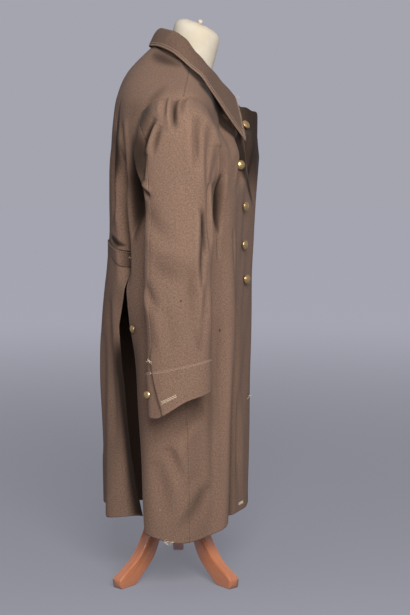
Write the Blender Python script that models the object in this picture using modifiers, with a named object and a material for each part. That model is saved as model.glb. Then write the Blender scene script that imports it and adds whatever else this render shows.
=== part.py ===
"""Double-breasted wool greatcoat standing on a limbless dress form.

Frame: metres, +Z up, floor at z = 0 under the form's pole. The wearer faces -Y and the
wearer's right side is -X. Plan angles start at the front and grow towards the right side,
so 0 is the front, 90 the right side, 180 the back and 270 the left side.
"""

import math

import bpy
import numpy as np
from mathutils import Matrix, Vector

# Driving dimensions
WALL = 0.0025            # heavy milled wool
COLLAR_WALL = 0.0030     # two layers, sewn together
CUFF_WALL = 0.0016       # applied cuff
SEAM_GAP = 0.0003        # between pieces that are sewn edge to edge
LAYER_GAP = 0.0006       # between pieces that lie on each other
SEAM_ANGLE = 0.15        # half a seam, in degrees of plan angle
BUTTON_RADIUS = 0.0107   # front buttons, domed brass
SMALL_BUTTON = 0.75      # cuff buttons, share of a front button
HIP_SIZE = 0.82          # hip button, share of a front button
SHANK = 0.36             # length of a button's shank, share of its radius
OVERLAP_ANGLE = -31.0    # free edge of the right front, past the middle of the front
UNDERLAP_ANGLE = 10.0    # hidden edge of the left front
FRONT_SPRING = 0.016     # how far the free edge's upper corner springs off the chest
FREE_ROW = 8.3           # section row from which the free edge stands upright
CHEST_TUCK = 0.75        # share of the overlap's fullness that the left front doesn't follow there
NECK_TILT = math.radians(13.0)
NECK_RADIUS = 0.0525
NECK_BASE = Vector((0.0, -0.030, 1.158))
LEG_ANGLES = (50.0, 130.0, 270.0)
LEG_THICKNESS = 0.027
POLE_RADIUS = 0.014
HUB_RADIUS = 0.026
FORM_BOTTOM = 0.660
FORM_BOTTOM_ROW = 3.5

# Body sections from hem to neck. Depths are measured from the shifted middle.
# columns: level, half_width, front, back, shift, z_front, z_side, z_back, slack_side, slack_front
SECTIONS = np.array([
    (0.134, 0.220, 0.140, 0.166, 0.000, 0.142, 0.118, 0.142, 0.060, 0.050),
    (0.300, 0.215, 0.140, 0.170, 0.000, 0.300, 0.300, 0.300, 0.060, 0.050),
    (0.450, 0.209, 0.142, 0.171, 0.000, 0.450, 0.450, 0.450, 0.060, 0.050),
    (0.600, 0.203, 0.146, 0.168, 0.000, 0.600, 0.600, 0.600, 0.058, 0.052),
    (0.720, 0.200, 0.150, 0.158, 0.000, 0.720, 0.720, 0.720, 0.060, 0.056),
    (0.790, 0.201, 0.153, 0.153, 0.000, 0.790, 0.790, 0.790, 0.060, 0.056),
    (0.880, 0.207, 0.156, 0.151, 0.000, 0.880, 0.880, 0.880, 0.045, 0.036),
    (0.960, 0.214, 0.156, 0.149, 0.000, 0.950, 0.960, 0.960, 0.040, 0.030),
    (1.030, 0.224, 0.144, 0.154, -0.010, 1.000, 1.035, 1.040, 0.036, 0.026),
    (1.080, 0.232, 0.129, 0.154, -0.020, 1.030, 1.082, 1.098, 0.030, 0.020),
    (1.125, 0.165, 0.113, 0.136, -0.028, 1.054, 1.128, 1.155, 0.0006, 0.020),
    (1.172, 0.092, 0.097, 0.083, -0.033, 1.076, 1.172, 1.214, 0.0006, 0.020),
])
LEVEL, HALF_WIDTH, FRONT, BACK, SHIFT, Z_FRONT, Z_SIDE, Z_BACK, SLACK_SIDE, SLACK_FRONT = range(10)
ROW_NECK = 11.0
ROW_TIP = 9.0

# Armhole: an oval in plan angle and section row
ARMHOLE_BOTTOM = 5.85
ARMHOLE_HALF_ANGLE = 27.0
ARMHOLE_INSET = 0.952    # the sleeve's edge, as a share of the armhole, across and up
SHOULDER_INSET = 0.982

# Hollows of the figure itself, which the form shares with the coat; columns as for the folds
HOLLOWS = (
    (54.0, 54.0, 42.0, -0.054, 0.97, 1.172, 0.09),    # between the shoulder and the collar's end
    (306.0, 306.0, 42.0, -0.054, 0.97, 1.172, 0.09),
)

# Largest folds of the body.
# columns: angle at the bottom, angle at the top, half width in degrees, depth, bottom, top, fade
FOLDS = (
    (-31.0, -31.0, 49.0, 0.040, -1.00, 1.10, 0.05),   # fullness under the overlap's free edge
    (51.0, 40.0, 13.0, 0.014, -1.00, 0.85, 0.25),     # long crest of the right front
    (28.0, 22.0, 16.0, -0.028, -1.00, 0.70, 0.30),    # hollow in front of the crest
    (23.0, 20.0, 13.0, -0.020, 0.88, 1.06, 0.05),     # valley beside the upper buttons
    (58.0, 58.0, 10.0, -0.018, 0.78, 0.93, 0.06),     # chest hollow in front of the sleeve
    (74.0, 76.0, 14.0, -0.008, -1.00, 0.60, 0.30),    # soft hollow of the right skirt
    (110.0, 112.0, 9.0, -0.022, 0.78, 0.97, 0.06),    # hollow between the back and the sleeve
    (128.0, 136.0, 9.5, -0.030, 0.66, 1.00, 0.08),    # deep fold above the vent
    (146.0, 152.0, 8.0, -0.018, 0.82, 1.02, 0.06),    # second fold of the back
    (122.0, 127.0, 20.0, -0.022, -1.00, 0.70, 0.20),  # right back turns in at the vent
    (196.0, 194.0, 13.0, -0.012, -1.00, 0.58, 0.20),  # hollow of the left back
    (215.0, 213.0, 22.0, 0.036, -1.00, 0.62, 0.25),   # rolled fold of the left back
    (246.0, 244.0, 14.0, -0.012, -1.00, 0.65, 0.25),  # hollows of the left skirt
    (268.0, 268.0, 12.0, 0.010, -1.00, 0.62, 0.25),
    (292.0, 290.0, 13.0, -0.012, -1.00, 0.68, 0.25),
    (226.0, 214.0, 9.0, -0.018, 0.72, 0.98, 0.08),    # folds of the left back above the belt
    (250.0, 248.0, 9.0, -0.022, 0.78, 0.97, 0.06),
    (302.0, 302.0, 10.0, -0.018, 0.78, 0.93, 0.06),
)

# Line where the two backs meet above the belt, and part below it to form the vent.
# columns: section row, angle of the right back's edge, angle of the left back's edge
BACK_LINE = np.array([
    (0.0, 109.4, 127.0),
    (1.0, 113.0, 137.0),
    (2.0, 116.0, 138.0),
    (3.0, 121.5, 138.0),
    (3.8, 127.5, 128.5),
    (5.0, 128.2, 128.2),
    (6.0, 131.0, 131.0),
    (7.0, 137.0, 137.0),
    (8.0, 147.0, 147.0),
    (9.0, 160.0, 160.0),
    (10.0, 172.0, 172.0),
    (11.0, 180.0, 180.0),
])
VENT_CURL = 0.050        # how far the left back's vent edge rolls inwards at the hem

SIDES = (("right", 1.0), ("left", -1.0))

# Sleeve rings, each a slanted oval given by its outermost and innermost points.
# columns: outer_x, outer_z, inner_x, inner_z, middle_y, half_depth
SLEEVE_RINGS = np.array([
    (0.253, 1.064, 0.214, 0.861, -0.012, 0.093),
    (0.276, 1.024, 0.218, 0.853, -0.010, 0.087),
    (0.289, 0.957, 0.220, 0.834, -0.011, 0.077),
    (0.296, 0.860, 0.221, 0.788, -0.012, 0.072),
    (0.299, 0.700, 0.220, 0.680, -0.009, 0.071),
    (0.302, 0.560, 0.222, 0.555, -0.010, 0.068),
    (0.306, 0.442, 0.228, 0.442, -0.012, 0.065),
])
OUT_X, OUT_Z, IN_X, IN_Z, MID_Y, HALF_DEPTH = range(6)
CUFF_SLANT = 0.020       # the cuff's front edge is higher than its back edge
CUFF_TOP = 6.30          # sleeve row where the cuff starts
SLIT_ANGLE = -58.0       # cuff slit, on the outer face towards the back
SLIT_TOP = 6.05          # sleeve row where the slit starts
SLIT_LIFT = 0.005        # the slit's upper layer stands off the lower one
INNER_SEAM = 122.0       # hidden front seam of the sleeve

# Collar stations from the middle of the back to the front end, right side.
# columns: fold x, y, z, then outer edge x, y, z
COLLAR = np.array([
    (0.000, 0.034, 1.252, 0.000, 0.062, 1.211),
    (0.056, 0.006, 1.241, 0.068, 0.034, 1.203),
    (0.074, -0.021, 1.224, 0.102, 0.004, 1.186),
    (0.081, -0.048, 1.190, 0.127, -0.026, 1.159),
    (0.072, -0.079, 1.156, 0.148, -0.061, 1.129),
    (0.050, -0.108, 1.125, 0.118, -0.096, 1.077),
    (0.018, -0.136, 1.097, 0.054, -0.160, 0.994),
])
COLLAR_REACH = len(COLLAR) - 1.0
FOLD_SEAT = 0.06         # share of the fall's width at which it rests on the stand
COLLAR_END_ANGLE = 4.0   # plan angle of the collar's front end on the neckline

BELT_ENDS = (129.5, 231.0)
BELT_MIDDLE = 0.753
BELT_HALF = 0.017
BELT_BOW = 0.004         # the belt stands off the back between its ends
BELT_SAG = 0.016

# Front buttons: level and plan angle of the right row; the left row stands on the left front
RIGHT_ROW = ((1.031, 1.0), (0.943, 16.0), (0.851, 19.0), (0.764, 16.0), (0.684, 5.0))
LEFT_ROW_ANGLE = -42.0
LEFT_ROW_DROP = 0.020
RAY_START = 0.02
SEAT_STEPS = 20
ROWS_PER_METRE = 8.0
HIP_BUTTON = (0.583, 119.0)
CUFF_BUTTON = (6.62, -72.0)

# Colours: base colour, roughness, metallic
FINISHES = {
    "wool": ((0.115, 0.078, 0.050), 0.95, 0.0),
    "brass": ((0.55, 0.38, 0.15), 0.35, 1.0),
    "cream_cloth": ((0.78, 0.72, 0.58), 0.85, 0.0),
    "wood": ((0.36, 0.13, 0.045), 0.30, 0.0),
}


def clear_scene():
    """Remove the default objects."""
    for item in list(bpy.data.objects):
        bpy.data.objects.remove(item, do_unlink=True)


def make_material(name):
    """One Principled material for a finish."""
    colour, roughness, metallic = FINISHES[name]
    material = bpy.data.materials.new(name)
    material.use_nodes = True
    shader = material.node_tree.nodes["Principled BSDF"]
    shader.inputs["Base Color"].default_value = (*colour, 1.0)
    shader.inputs["Roughness"].default_value = roughness
    shader.inputs["Metallic"].default_value = metallic
    material.diffuse_color = (*colour, 1.0)
    return material


def add_object(name, mesh, finish):
    """Link a mesh as a named part with its own material."""
    part = bpy.data.objects.new(name, mesh)
    mesh.materials.append(make_material(finish))
    bpy.data.collections["greatcoat"].objects.link(part)
    return part


def smooth_rows(table, row):
    """Catmull-Rom curve through a table's rows, read at fractional rows."""
    row = np.clip(np.asarray(row, float), 0.0, len(table) - 1.0)
    base = np.minimum(np.floor(row).astype(int), len(table) - 2)
    t = (row - base)[..., None]
    before = table[np.maximum(base - 1, 0)]
    start = table[base]
    end = table[base + 1]
    after = table[np.minimum(base + 2, len(table) - 1)]
    slope_start = (end - before) / 2
    slope_end = (after - start) / 2
    return (start * (2 * t**3 - 3 * t**2 + 1) + slope_start * (t**3 - 2 * t**2 + t)
            + end * (3 * t**2 - 2 * t**3) + slope_end * (t**3 - t**2))


def ramp(value, start, width):
    """Smooth step from 0 at start to 1 at start plus width."""
    t = np.clip((value - start) / width, 0.0, 1.0)
    return t * t * (3 - 2 * t)


def bump(offset):
    """Rounded bump: 1 in the middle, 0 from one half width on."""
    return np.where(np.abs(offset) < 1, 0.5 + 0.5 * np.cos(np.pi * np.clip(offset, -1, 1)), 0.0)


def fold_depth(folds, angle, level):
    """Sum of a table of folds at a plan angle and a level."""
    total = np.zeros(np.broadcast(angle, level).shape)
    for low_angle, high_angle, half, depth, bottom, top, fade in folds:
        share = np.clip((level - max(bottom, 0.13)) / (top - max(bottom, 0.13)), 0.0, 1.0)
        middle = low_angle + (high_angle - low_angle) * share
        away = (angle - middle + 180.0) % 360.0 - 180.0
        window = ramp(level, bottom, fade) * (1 - ramp(level, top - fade, fade))
        total = total + depth * bump(away / half) * window
    return total


def body_point(angle, row, folded=True):
    """Outer face of the coat's body at a plan angle in degrees and a section row."""
    angle, row = np.broadcast_arrays(np.asarray(angle, float), np.asarray(row, float))
    s = smooth_rows(SECTIONS, row)
    sine = np.sin(np.radians(angle))
    cosine = np.cos(np.radians(angle))
    depth = np.where(cosine > 0, s[..., FRONT], s[..., BACK])
    z_end = np.where(cosine > 0, s[..., Z_FRONT], s[..., Z_BACK])
    radius = 1 / np.sqrt((sine / s[..., HALF_WIDTH]) ** 2 + (cosine / depth) ** 2)
    radius = radius + fold_depth(HOLLOWS, angle, s[..., LEVEL])
    if folded:
        radius = radius + fold_depth(FOLDS, angle, s[..., LEVEL])
    share = np.where(cosine > 0, sine**4, sine**2)
    z = z_end * (1 - share) + s[..., Z_SIDE] * share
    return np.stack([-radius * sine, s[..., SHIFT] - radius * cosine, z], -1)


def unit(vectors):
    """Vectors of length one."""
    return vectors / np.linalg.norm(vectors, axis=-1, keepdims=True)


def surface_normals(surface, across, along, step=1e-3):
    """Outward normals of a surface from its central differences."""
    d_across = surface(across + step, along) - surface(across - step, along)
    d_along = surface(across, along + step) - surface(across, along - step)
    return unit(np.cross(d_along, d_across))


def grid_faces(rows, columns, first=0):
    """Quads of a grid of points, row by row."""
    corner = (np.arange(rows - 1)[:, None] * columns + np.arange(columns - 1)[None, :]).ravel() + first
    return np.stack([corner, corner + columns, corner + columns + 1, corner + 1], -1)


def wall_mesh(name, outer, inner):
    """Closed wall between two grids of points, with its four rims."""
    rows, columns = outer.shape[:2]
    count = rows * columns
    index = np.arange(count).reshape(rows, columns)
    rim = np.concatenate([index[0], index[1:, -1], index[-1, -2::-1], index[-2:0:-1, 0]])
    following = np.roll(rim, -1)
    faces = np.concatenate([
        grid_faces(rows, columns),
        grid_faces(rows, columns, count)[:, ::-1],
        np.stack([rim, following, following + count, rim + count], -1),
    ])
    mesh = bpy.data.meshes.new(name)
    mesh.from_pydata(np.concatenate([outer, inner]).reshape(-1, 3).tolist(), [], faces.tolist())
    mesh.update()
    return mesh


def add_wall(name, surface, across, along, thickness=WALL, lift=0.0, finish="wool"):
    """Cloth piece: a surface given as a function, walled inwards by its thickness."""
    across, along = np.meshgrid(across, along)
    normal = surface_normals(surface, across, along)
    outer = surface(across, along) + normal * lift
    mesh = wall_mesh(name, outer, outer - normal * thickness)
    part = add_object(name, mesh, finish)
    mesh.shade_smooth()
    mesh.set_sharp_from_angle(angle=math.radians(50))
    return part


def side_angle(row, towards_back):
    """Plan angle where the right front and back end: side seam, armhole, shoulder seam."""
    middle = (ARMHOLE_BOTTOM + ROW_TIP) / 2
    half = (ROW_TIP - ARMHOLE_BOTTOM) / 2
    oval = np.sqrt(np.clip(1 - ((row - middle) / half) ** 2, 0.0, 1.0))
    seam = 90.0 - 9.0 * (1 - ramp(row, 0.0, ARMHOLE_BOTTOM))
    side = 1.0 if towards_back else -1.0
    return seam + side * (oval * ARMHOLE_HALF_ANGLE + SEAM_ANGLE)


def panel_rows():
    """Section rows of the body panels, closer together round the armhole."""
    skirt = np.linspace(0.0, 5.0, 12)
    armhole = np.array([5.45, ARMHOLE_BOTTOM, 5.97, 6.35, 6.9, 7.45, 8.0, 8.5, 8.86, ROW_TIP])
    shoulder = np.array([9.35, 9.75, 10.3, ROW_NECK])
    return np.concatenate([skirt, armhole, shoulder])


def top_drop(angle):
    """Rows by which a front's upper edge drops past the collar's end, to a rounded corner."""
    return 0.45 * ramp(-angle, -4.0, 8.0) + 0.45 * ramp(-angle, 22.0, 9.0)


def right_front(across, row):
    """Right front, from its free edge across the chest to the side seam and the armhole."""
    angle = OVERLAP_ANGLE + across * (side_angle(row, False) - OVERLAP_ANGLE)
    lowered = row - top_drop(angle) * ramp(row, 7.0, ROW_NECK - 7.0)
    spring = FRONT_SPRING * ramp(-angle, 6.0, 26.0) * ramp(lowered, 5.0, 2.5)
    point = body_point(angle, lowered)
    upright = body_point(angle, np.minimum(lowered, FREE_ROW))
    upright[..., 2] = point[..., 2]
    free = ramp(-angle, -2.0, 16.0)
    outward = np.stack([-np.sin(np.radians(angle)), -np.cos(np.radians(angle)), 0 * angle], -1)
    return point + (upright - point) * free[..., None] + outward * spring[..., None]


def left_front(across, row):
    """Left front, from the left side seam to its edge under the overlap."""
    seam = -side_angle(row, False)
    angle = seam + across * (UNDERLAP_ANGLE - seam)
    under = ramp(angle, -52.0, 17.0)
    drop = 2.3 * ramp(angle, -6.0, 12.0)
    lowered = row - drop * ramp(row, 7.0, ROW_NECK - 7.0)
    point = body_point(angle, lowered)
    outward = np.stack([-np.sin(np.radians(angle)), -np.cos(np.radians(angle)), 0 * angle], -1)
    level = smooth_rows(SECTIONS, lowered)[..., LEVEL]
    fullness = fold_depth(FOLDS[:1], angle, level)
    tuck = 2.2 * (WALL + LAYER_GAP) * under + CHEST_TUCK * fullness * ramp(row, 6.0, 1.8)
    return point - outward * tuck[..., None]


def right_back(across, row):
    """Right back, from the side seam to the middle seam and the vent's edge."""
    start = side_angle(row, True)
    end = np.interp(row, BACK_LINE[:, 0], BACK_LINE[:, 1]) - SEAM_ANGLE
    return body_point(start + across * (end - start), row)


def left_back(across, row):
    """Left back, from the vent's rolled edge round the back to the left side seam."""
    start = np.interp(row, BACK_LINE[:, 0], BACK_LINE[:, 2]) + SEAM_ANGLE
    end = 360.0 - side_angle(row, True)
    angle = start + across * (end - start)
    point = body_point(angle, row)
    curl = VENT_CURL * (1 - ramp(across, 0.0, 0.22)) * (1 - ramp(row, 0.0, 3.8))
    inward = np.stack([np.sin(np.radians(angle)), np.cos(np.radians(angle)), 0 * angle], -1)
    return point + inward * curl[..., None]


def add_body():
    """The four body panels."""
    rows = panel_rows()
    add_wall("front_right", right_front, np.linspace(0, 1, 25), rows)
    add_wall("front_left", left_front, np.linspace(0, 1, 21), rows)
    add_wall("back_right", right_back, np.linspace(0, 1, 10), rows)
    add_wall("back_left", left_back, np.linspace(0, 1, 25) ** 1.25, rows)


def armhole_ring(turn, side):
    """Ring of an armhole, just inside its edge; turn 0 is the shoulder, 90 the front."""
    middle = (ARMHOLE_BOTTOM + ROW_TIP) / 2
    half = (ROW_TIP - ARMHOLE_BOTTOM) / 2
    angle = 90.0 - ARMHOLE_HALF_ANGLE * ARMHOLE_INSET * np.sin(np.radians(turn))
    return body_point(side * angle, middle + half * SHOULDER_INSET * np.cos(np.radians(turn)))


def sleeve_surface(turn, row, side):
    """Sleeve: smooth tube through the armhole ring and the slanted ovals; side 1 is the right."""
    sine = np.sin(np.radians(turn))[..., None]
    cosine = np.cos(np.radians(turn))[..., None]
    rings = [armhole_ring(turn, side)]
    for ring in SLEEVE_RINGS:
        outer = np.array([-side * ring[OUT_X], ring[MID_Y], ring[OUT_Z]])
        inner = np.array([-side * ring[IN_X], ring[MID_Y], ring[IN_Z]])
        forward = np.array([0.0, -ring[HALF_DEPTH], 0.0])
        rings.append((outer + inner) / 2 + (outer - inner) / 2 * cosine + forward * sine)
    rings = np.stack(rings)
    last = len(rings) - 1
    inside = np.clip(row, 0.0, last)
    base = np.minimum(np.floor(inside).astype(int), last - 1)
    t = (inside - base)[..., None]

    def ring_at(number):
        return np.take_along_axis(rings, np.clip(number, 0, last)[None, ..., None], 0)[0]

    before, start, end, after = (ring_at(base + k) for k in (-1, 0, 1, 2))
    point = (start * (2 * t**3 - 3 * t**2 + 1) + (end - before) / 2 * (t**3 - 2 * t**2 + t)
             + end * (3 * t**2 - 2 * t**3) + (after - start) / 2 * (t**3 - t**2))
    slant = CUFF_SLANT * ramp(row, 5.0, 2.0)
    past = (row - inside)[..., None] * np.array([0.0, 0.0, -0.1])
    return point + past + np.array([0.0, 0.0, 1.0]) * slant[..., None] * sine


def slit_lift(turn, row):
    """How far the upper layer stands off beside the cuff slit."""
    away = np.asarray(turn) - SLIT_ANGLE
    return SLIT_LIFT * ramp(row, SLIT_TOP - 0.15, 0.25) * np.where(away >= 0, 1 - ramp(away, 0, 45), 0)


def lifted_sleeve(side):
    """Sleeve of one side with the slit's upper layer raised; its turn is mirrored on the left."""
    def surface(across, row):
        turn = side * across
        point = sleeve_surface(turn, row, side)
        front = sleeve_surface(turn * 0 + 90.0, row, side)
        back = sleeve_surface(turn * 0 - 90.0, row, side)
        return point + unit(point - (front + back) / 2) * slit_lift(turn, row)[..., None]
    return surface


def add_sleeves():
    """Upper and under sleeves and the applied cuffs, right and left."""
    rows = np.array([0.0, 0.35, 0.75, 1.2, 1.7, 2.3, 3.0, 4.0, 5.0, 5.6, SLIT_TOP, 6.3, 6.65, 7.0])
    seam = 0.8
    upper = np.linspace(SLIT_ANGLE + seam, INNER_SEAM - seam, 15)
    under = np.linspace(INNER_SEAM + seam, 360.0 + SLIT_ANGLE - seam, 14)
    cuff_rows = np.array([CUFF_TOP, 6.53, 6.76, 6.99])
    cuff = np.linspace(SLIT_ANGLE + 2 * seam, 360.0 + SLIT_ANGLE - 9.0, 27)
    for name, side in SIDES:
        surface = lifted_sleeve(side)
        lift = LAYER_GAP + CUFF_WALL
        add_wall(f"sleeve_upper_{name}", surface, np.sort(side * upper), rows)
        add_wall(f"sleeve_under_{name}", surface, np.sort(side * under), rows)
        add_wall(f"cuff_{name}", surface, np.sort(side * cuff), cuff_rows, CUFF_WALL, lift)


def collar_line(station, first_column):
    """Point of the collar's fold or edge; station runs from the left end to the right end."""
    station = np.asarray(station, float)
    reach = np.abs(station)
    folded = np.concatenate([COLLAR[1:2] * [-1, 1, 1, -1, 1, 1], COLLAR])
    point = smooth_rows(folded, reach + 1)[..., first_column:first_column + 3]
    side = np.where(station >= 0, -1.0, 1.0)
    return point * np.stack([side, side * 0 + 1, side * 0 + 1], -1)


def neck_point(station):
    """Point of the neckline under a collar station."""
    angle = 180.0 - np.asarray(station, float) / COLLAR_REACH * (180.0 - COLLAR_END_ANGLE)
    return body_point(angle, np.full(np.shape(angle), ROW_NECK))


def collar_stand(across, rise):
    """Stand: from just above the neckline to just under the fold, right end to left end."""
    station = np.clip(-across, -COLLAR_REACH, COLLAR_REACH)
    low = neck_point(station) + np.array([0.0, 0.0, 0.0020])
    under = surface_normals(collar_fall, station, 0 * station + FOLD_SEAT)
    high = collar_fall(station, 0 * station + FOLD_SEAT) - under * (COLLAR_WALL + LAYER_GAP)
    return low + (high - low) * np.asarray(rise)[..., None]


def collar_fall(station, width):
    """Fall: rolls over the fold and slopes down to its outer edge, which is slightly hollow."""
    width = np.asarray(width, float)
    fold = collar_line(station, 0)
    edge = collar_line(station, 3)
    roll = 0.010 * np.sin(np.pi * np.clip(width, 0, 1)) * (1 - 0.4 * width)
    return fold + (edge - fold) * width[..., None] + np.array([0.0, 0.0, 1.0]) * roll[..., None]


def add_collar():
    """Collar stand and collar fall."""
    stations = np.linspace(-COLLAR_REACH, COLLAR_REACH, 35)
    add_wall("collar_stand", collar_stand, stations, np.linspace(0, 1, 3), COLLAR_WALL)
    add_wall("collar_fall", collar_fall, stations, np.linspace(0, 1, 6), COLLAR_WALL)


def belt_surface(across, rise):
    """Half-belt: follows the back without its folds, bowed off it and sagging between its ends."""
    start, end = BELT_ENDS
    angle = start + across * (end - start)
    arch = np.sin(np.pi * np.clip(across, 0, 1))
    level = BELT_MIDDLE + (rise - 0.5) * 2 * BELT_HALF + BELT_SAG * (arch - 0.75)
    row = row_of_level(level)
    outward = np.stack([-np.sin(np.radians(angle)), -np.cos(np.radians(angle)), 0 * angle], -1)
    stand_off = WALL + LAYER_GAP + BELT_BOW * ramp(arch, 0.0, 0.5)
    return body_point(angle, row, folded=False) + outward * stand_off[..., None]


def row_of_level(level):
    """Section row at a level."""
    return np.interp(level, SECTIONS[:, LEVEL], np.arange(len(SECTIONS)))


def button_mesh(name, size):
    """Domed button with a short shank, as the half profile that is turned about Z."""
    radius = BUTTON_RADIUS * size
    profile = [
        (0.0, 0.64), (0.46, 0.57), (0.83, 0.38), (1.0, 0.17), (0.92, 0.09),
        (0.24, 0.07), (0.22, -SHANK), (0.0, -SHANK),
    ]
    points = [(x * radius, 0.0, z * radius) for x, z in profile]
    edges = [(k, k + 1) for k in range(len(points) - 1)]
    mesh = bpy.data.meshes.new(name)
    mesh.from_pydata(points, edges, [])
    return mesh


def turn_profile(part, steps):
    """Turn a half profile about Z."""
    screw = part.modifiers.new("turned", "SCREW")
    screw.angle = 2 * math.pi
    screw.steps = steps
    screw.render_steps = steps
    screw.use_merge_vertices = True
    screw.merge_threshold = 1e-5
    screw.use_normal_calculate = True
    screw.use_smooth_shade = True


def add_button(name, carrier, point, normal, size=1.0):
    """Button whose shank stands on the carrying piece where a line along its normal meets it."""
    part = add_object(name, button_mesh(name, size), "brass")
    turn_profile(part, 9)
    normal = Vector(normal)
    found, spot, _, _ = bpy.data.objects[carrier].ray_cast(Vector(point) + normal * RAY_START, -normal)
    if not found:
        raise RuntimeError(f"{name} misses {carrier}")
    foot = SHANK * BUTTON_RADIUS * size + LAYER_GAP
    turn = normal.to_track_quat("Z", "Y").to_matrix().to_4x4()
    part.matrix_world = Matrix.Translation(spot + normal * foot) @ turn
    return part


def seat(surface, across, along):
    """Point and outward normal of a surface at one place."""
    across = np.array([[across]])
    along = np.array([[along]])
    return surface(across, along)[0, 0], surface_normals(surface, across, along)[0, 0]


def front_seat(surface, angle, level):
    """Place on a front at a plan angle and a height, found by moving along the rows."""
    row = row_of_level(level)
    for _ in range(SEAT_STEPS):
        seam = float(side_angle(np.array(row), False))
        ends = (OVERLAP_ANGLE, seam) if angle > OVERLAP_ANGLE else (-seam, UNDERLAP_ANGLE)
        across = (angle - ends[0]) / (ends[1] - ends[0])
        row += (level - seat(surface, across, row)[0][2]) * ROWS_PER_METRE
    return seat(surface, across, row)


def add_buttons():
    """A row of buttons on each front, the hip button and the cuff buttons."""
    bpy.context.view_layer.update()
    for number, (level, angle) in enumerate(RIGHT_ROW, start=1):
        right = front_seat(right_front, angle, level)
        left = front_seat(left_front, LEFT_ROW_ANGLE, level - LEFT_ROW_DROP)
        add_button(f"button_right_{number}", "front_right", *right)
        add_button(f"button_left_{number}", "front_left", *left)
    level, angle = HIP_BUTTON
    row = row_of_level(level)
    start = float(side_angle(np.array(row), True))
    end = float(np.interp(row, BACK_LINE[:, 0], BACK_LINE[:, 1]))
    place = seat(right_back, (angle - start) / (end - start), row)
    add_button("button_hip", "back_right", *place, HIP_SIZE)
    row, turn = CUFF_BUTTON
    for name, side in SIDES:
        point, normal = seat(lifted_sleeve(side), side * (360.0 + turn), row)
        add_button(f"button_cuff_{name}", f"cuff_{name}", point, normal, SMALL_BUTTON)


def form_point(angle, row):
    """Dress form: the coat's plain surface moved in by the wall and the slack of each section."""
    angle, row = np.broadcast_arrays(np.asarray(angle, float), np.asarray(row, float))
    levels = np.arange(len(SECTIONS))
    side = np.interp(row, levels, SECTIONS[:, SLACK_SIDE])
    front = np.interp(row, levels, SECTIONS[:, SLACK_FRONT])
    sine = np.sin(np.radians(angle)) ** 2
    slack = side * sine + front * (1 - sine)

    def plain(a, r):
        return body_point(a, r, folded=False)

    normal = surface_normals(plain, angle, row)
    return plain(angle, row) - normal * (WALL + slack)[..., None]


def tilted_ring(angle, radius):
    """Ring round the neck's tilted axis at the neck's base."""
    tilt = Matrix.Rotation(NECK_TILT, 3, "X")
    ring = np.stack([-np.sin(np.radians(angle)), -np.cos(np.radians(angle)), 0 * angle], -1) * radius
    return ring @ np.array(tilt).T + np.array(NECK_BASE)


def add_torso():
    """Limbless torso, closed below by a flat base and above by the neck's seat."""
    columns = 36
    angle = np.arange(columns) * 360.0 / columns
    rows = np.array([FORM_BOTTOM_ROW, 3.9, 4.4, 5.0, 6.0, 7.0, 8.0, 8.7, 9.2, 9.6, 10.0, 10.4, 10.75])
    rings = [form_point(angle, np.full(columns, row)) for row in rows]
    rings[0][:, 2] = FORM_BOTTOM
    rings.append(tilted_ring(angle, NECK_RADIUS + 0.006))
    points = np.concatenate(rings)
    faces = []
    for ring in range(len(rings) - 1):
        here = ring * columns + np.arange(columns)
        there = ring * columns + (np.arange(columns) + 1) % columns
        faces += np.stack([here, here + columns, there + columns, there], -1).tolist()
    faces.append(list(range(columns)))
    faces.append(list(range(len(points) - columns, len(points)))[::-1])
    mesh = bpy.data.meshes.new("form_torso")
    mesh.from_pydata(points.tolist(), [], faces)
    mesh.update()
    add_object("form_torso", mesh, "cream_cloth")
    mesh.shade_smooth()
    mesh.set_sharp_from_angle(angle=math.radians(40))


def add_turned(name, profile, finish, matrix, steps):
    """Turned piece from a profile of radius and height, top to bottom."""
    mesh = bpy.data.meshes.new(name)
    edges = [(k, k + 1) for k in range(len(profile) - 1)]
    mesh.from_pydata([(radius, 0.0, height) for radius, height in profile], edges, [])
    part = add_object(name, mesh, finish)
    turn_profile(part, steps)
    part.matrix_world = matrix
    return part


def add_neck():
    """Neck block, tilted forwards, with a small knob on its cap."""
    r = NECK_RADIUS
    height = 0.105
    tilt = Matrix.Translation(NECK_BASE) @ Matrix.Rotation(NECK_TILT, 4, "X")
    profile = [
        (0.0, height), (0.45 * r, height - 0.001), (0.80 * r, height - 0.006), (0.96 * r, height - 0.014),
        (r, height - 0.024), (0.99 * r, 0.5 * height), (0.96 * r, 0.02), (0.98 * r, SEAM_GAP), (0.0, SEAM_GAP),
    ]
    add_turned("form_neck", profile, "cream_cloth", tilt, 24)
    k = 0.006
    knob = [(0.0, 0.011), (0.6 * k, 0.0095), (k, 0.006), (0.8 * k, 0.003), (0.5 * k, 0.0), (0.0, 0.0)]
    top = tilt @ Matrix.Translation((0.0, 0.0, height + SEAM_GAP))
    add_turned("form_knob", knob, "cream_cloth", top, 12)


def leg_outline():
    """Sabre leg seen from its side: distance from the pole, height. Upper edge, then lower edge."""
    inner = HUB_RADIUS + SEAM_GAP
    reach = 0.204
    upper = [
        (inner, 0.232), (0.060, 0.196), (0.089, 0.140), (0.115, 0.094), (0.148, 0.056), (reach - 0.012, 0.030),
    ]
    toe = [(reach, 0.022), (reach - 0.001, 0.006), (reach - 0.008, 0.0)]
    lower = [(0.158, 0.0), (0.131, 0.018), (0.094, 0.050), (0.068, 0.096), (0.045, 0.150), (inner, 0.172)]
    return upper + toe + lower


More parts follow.
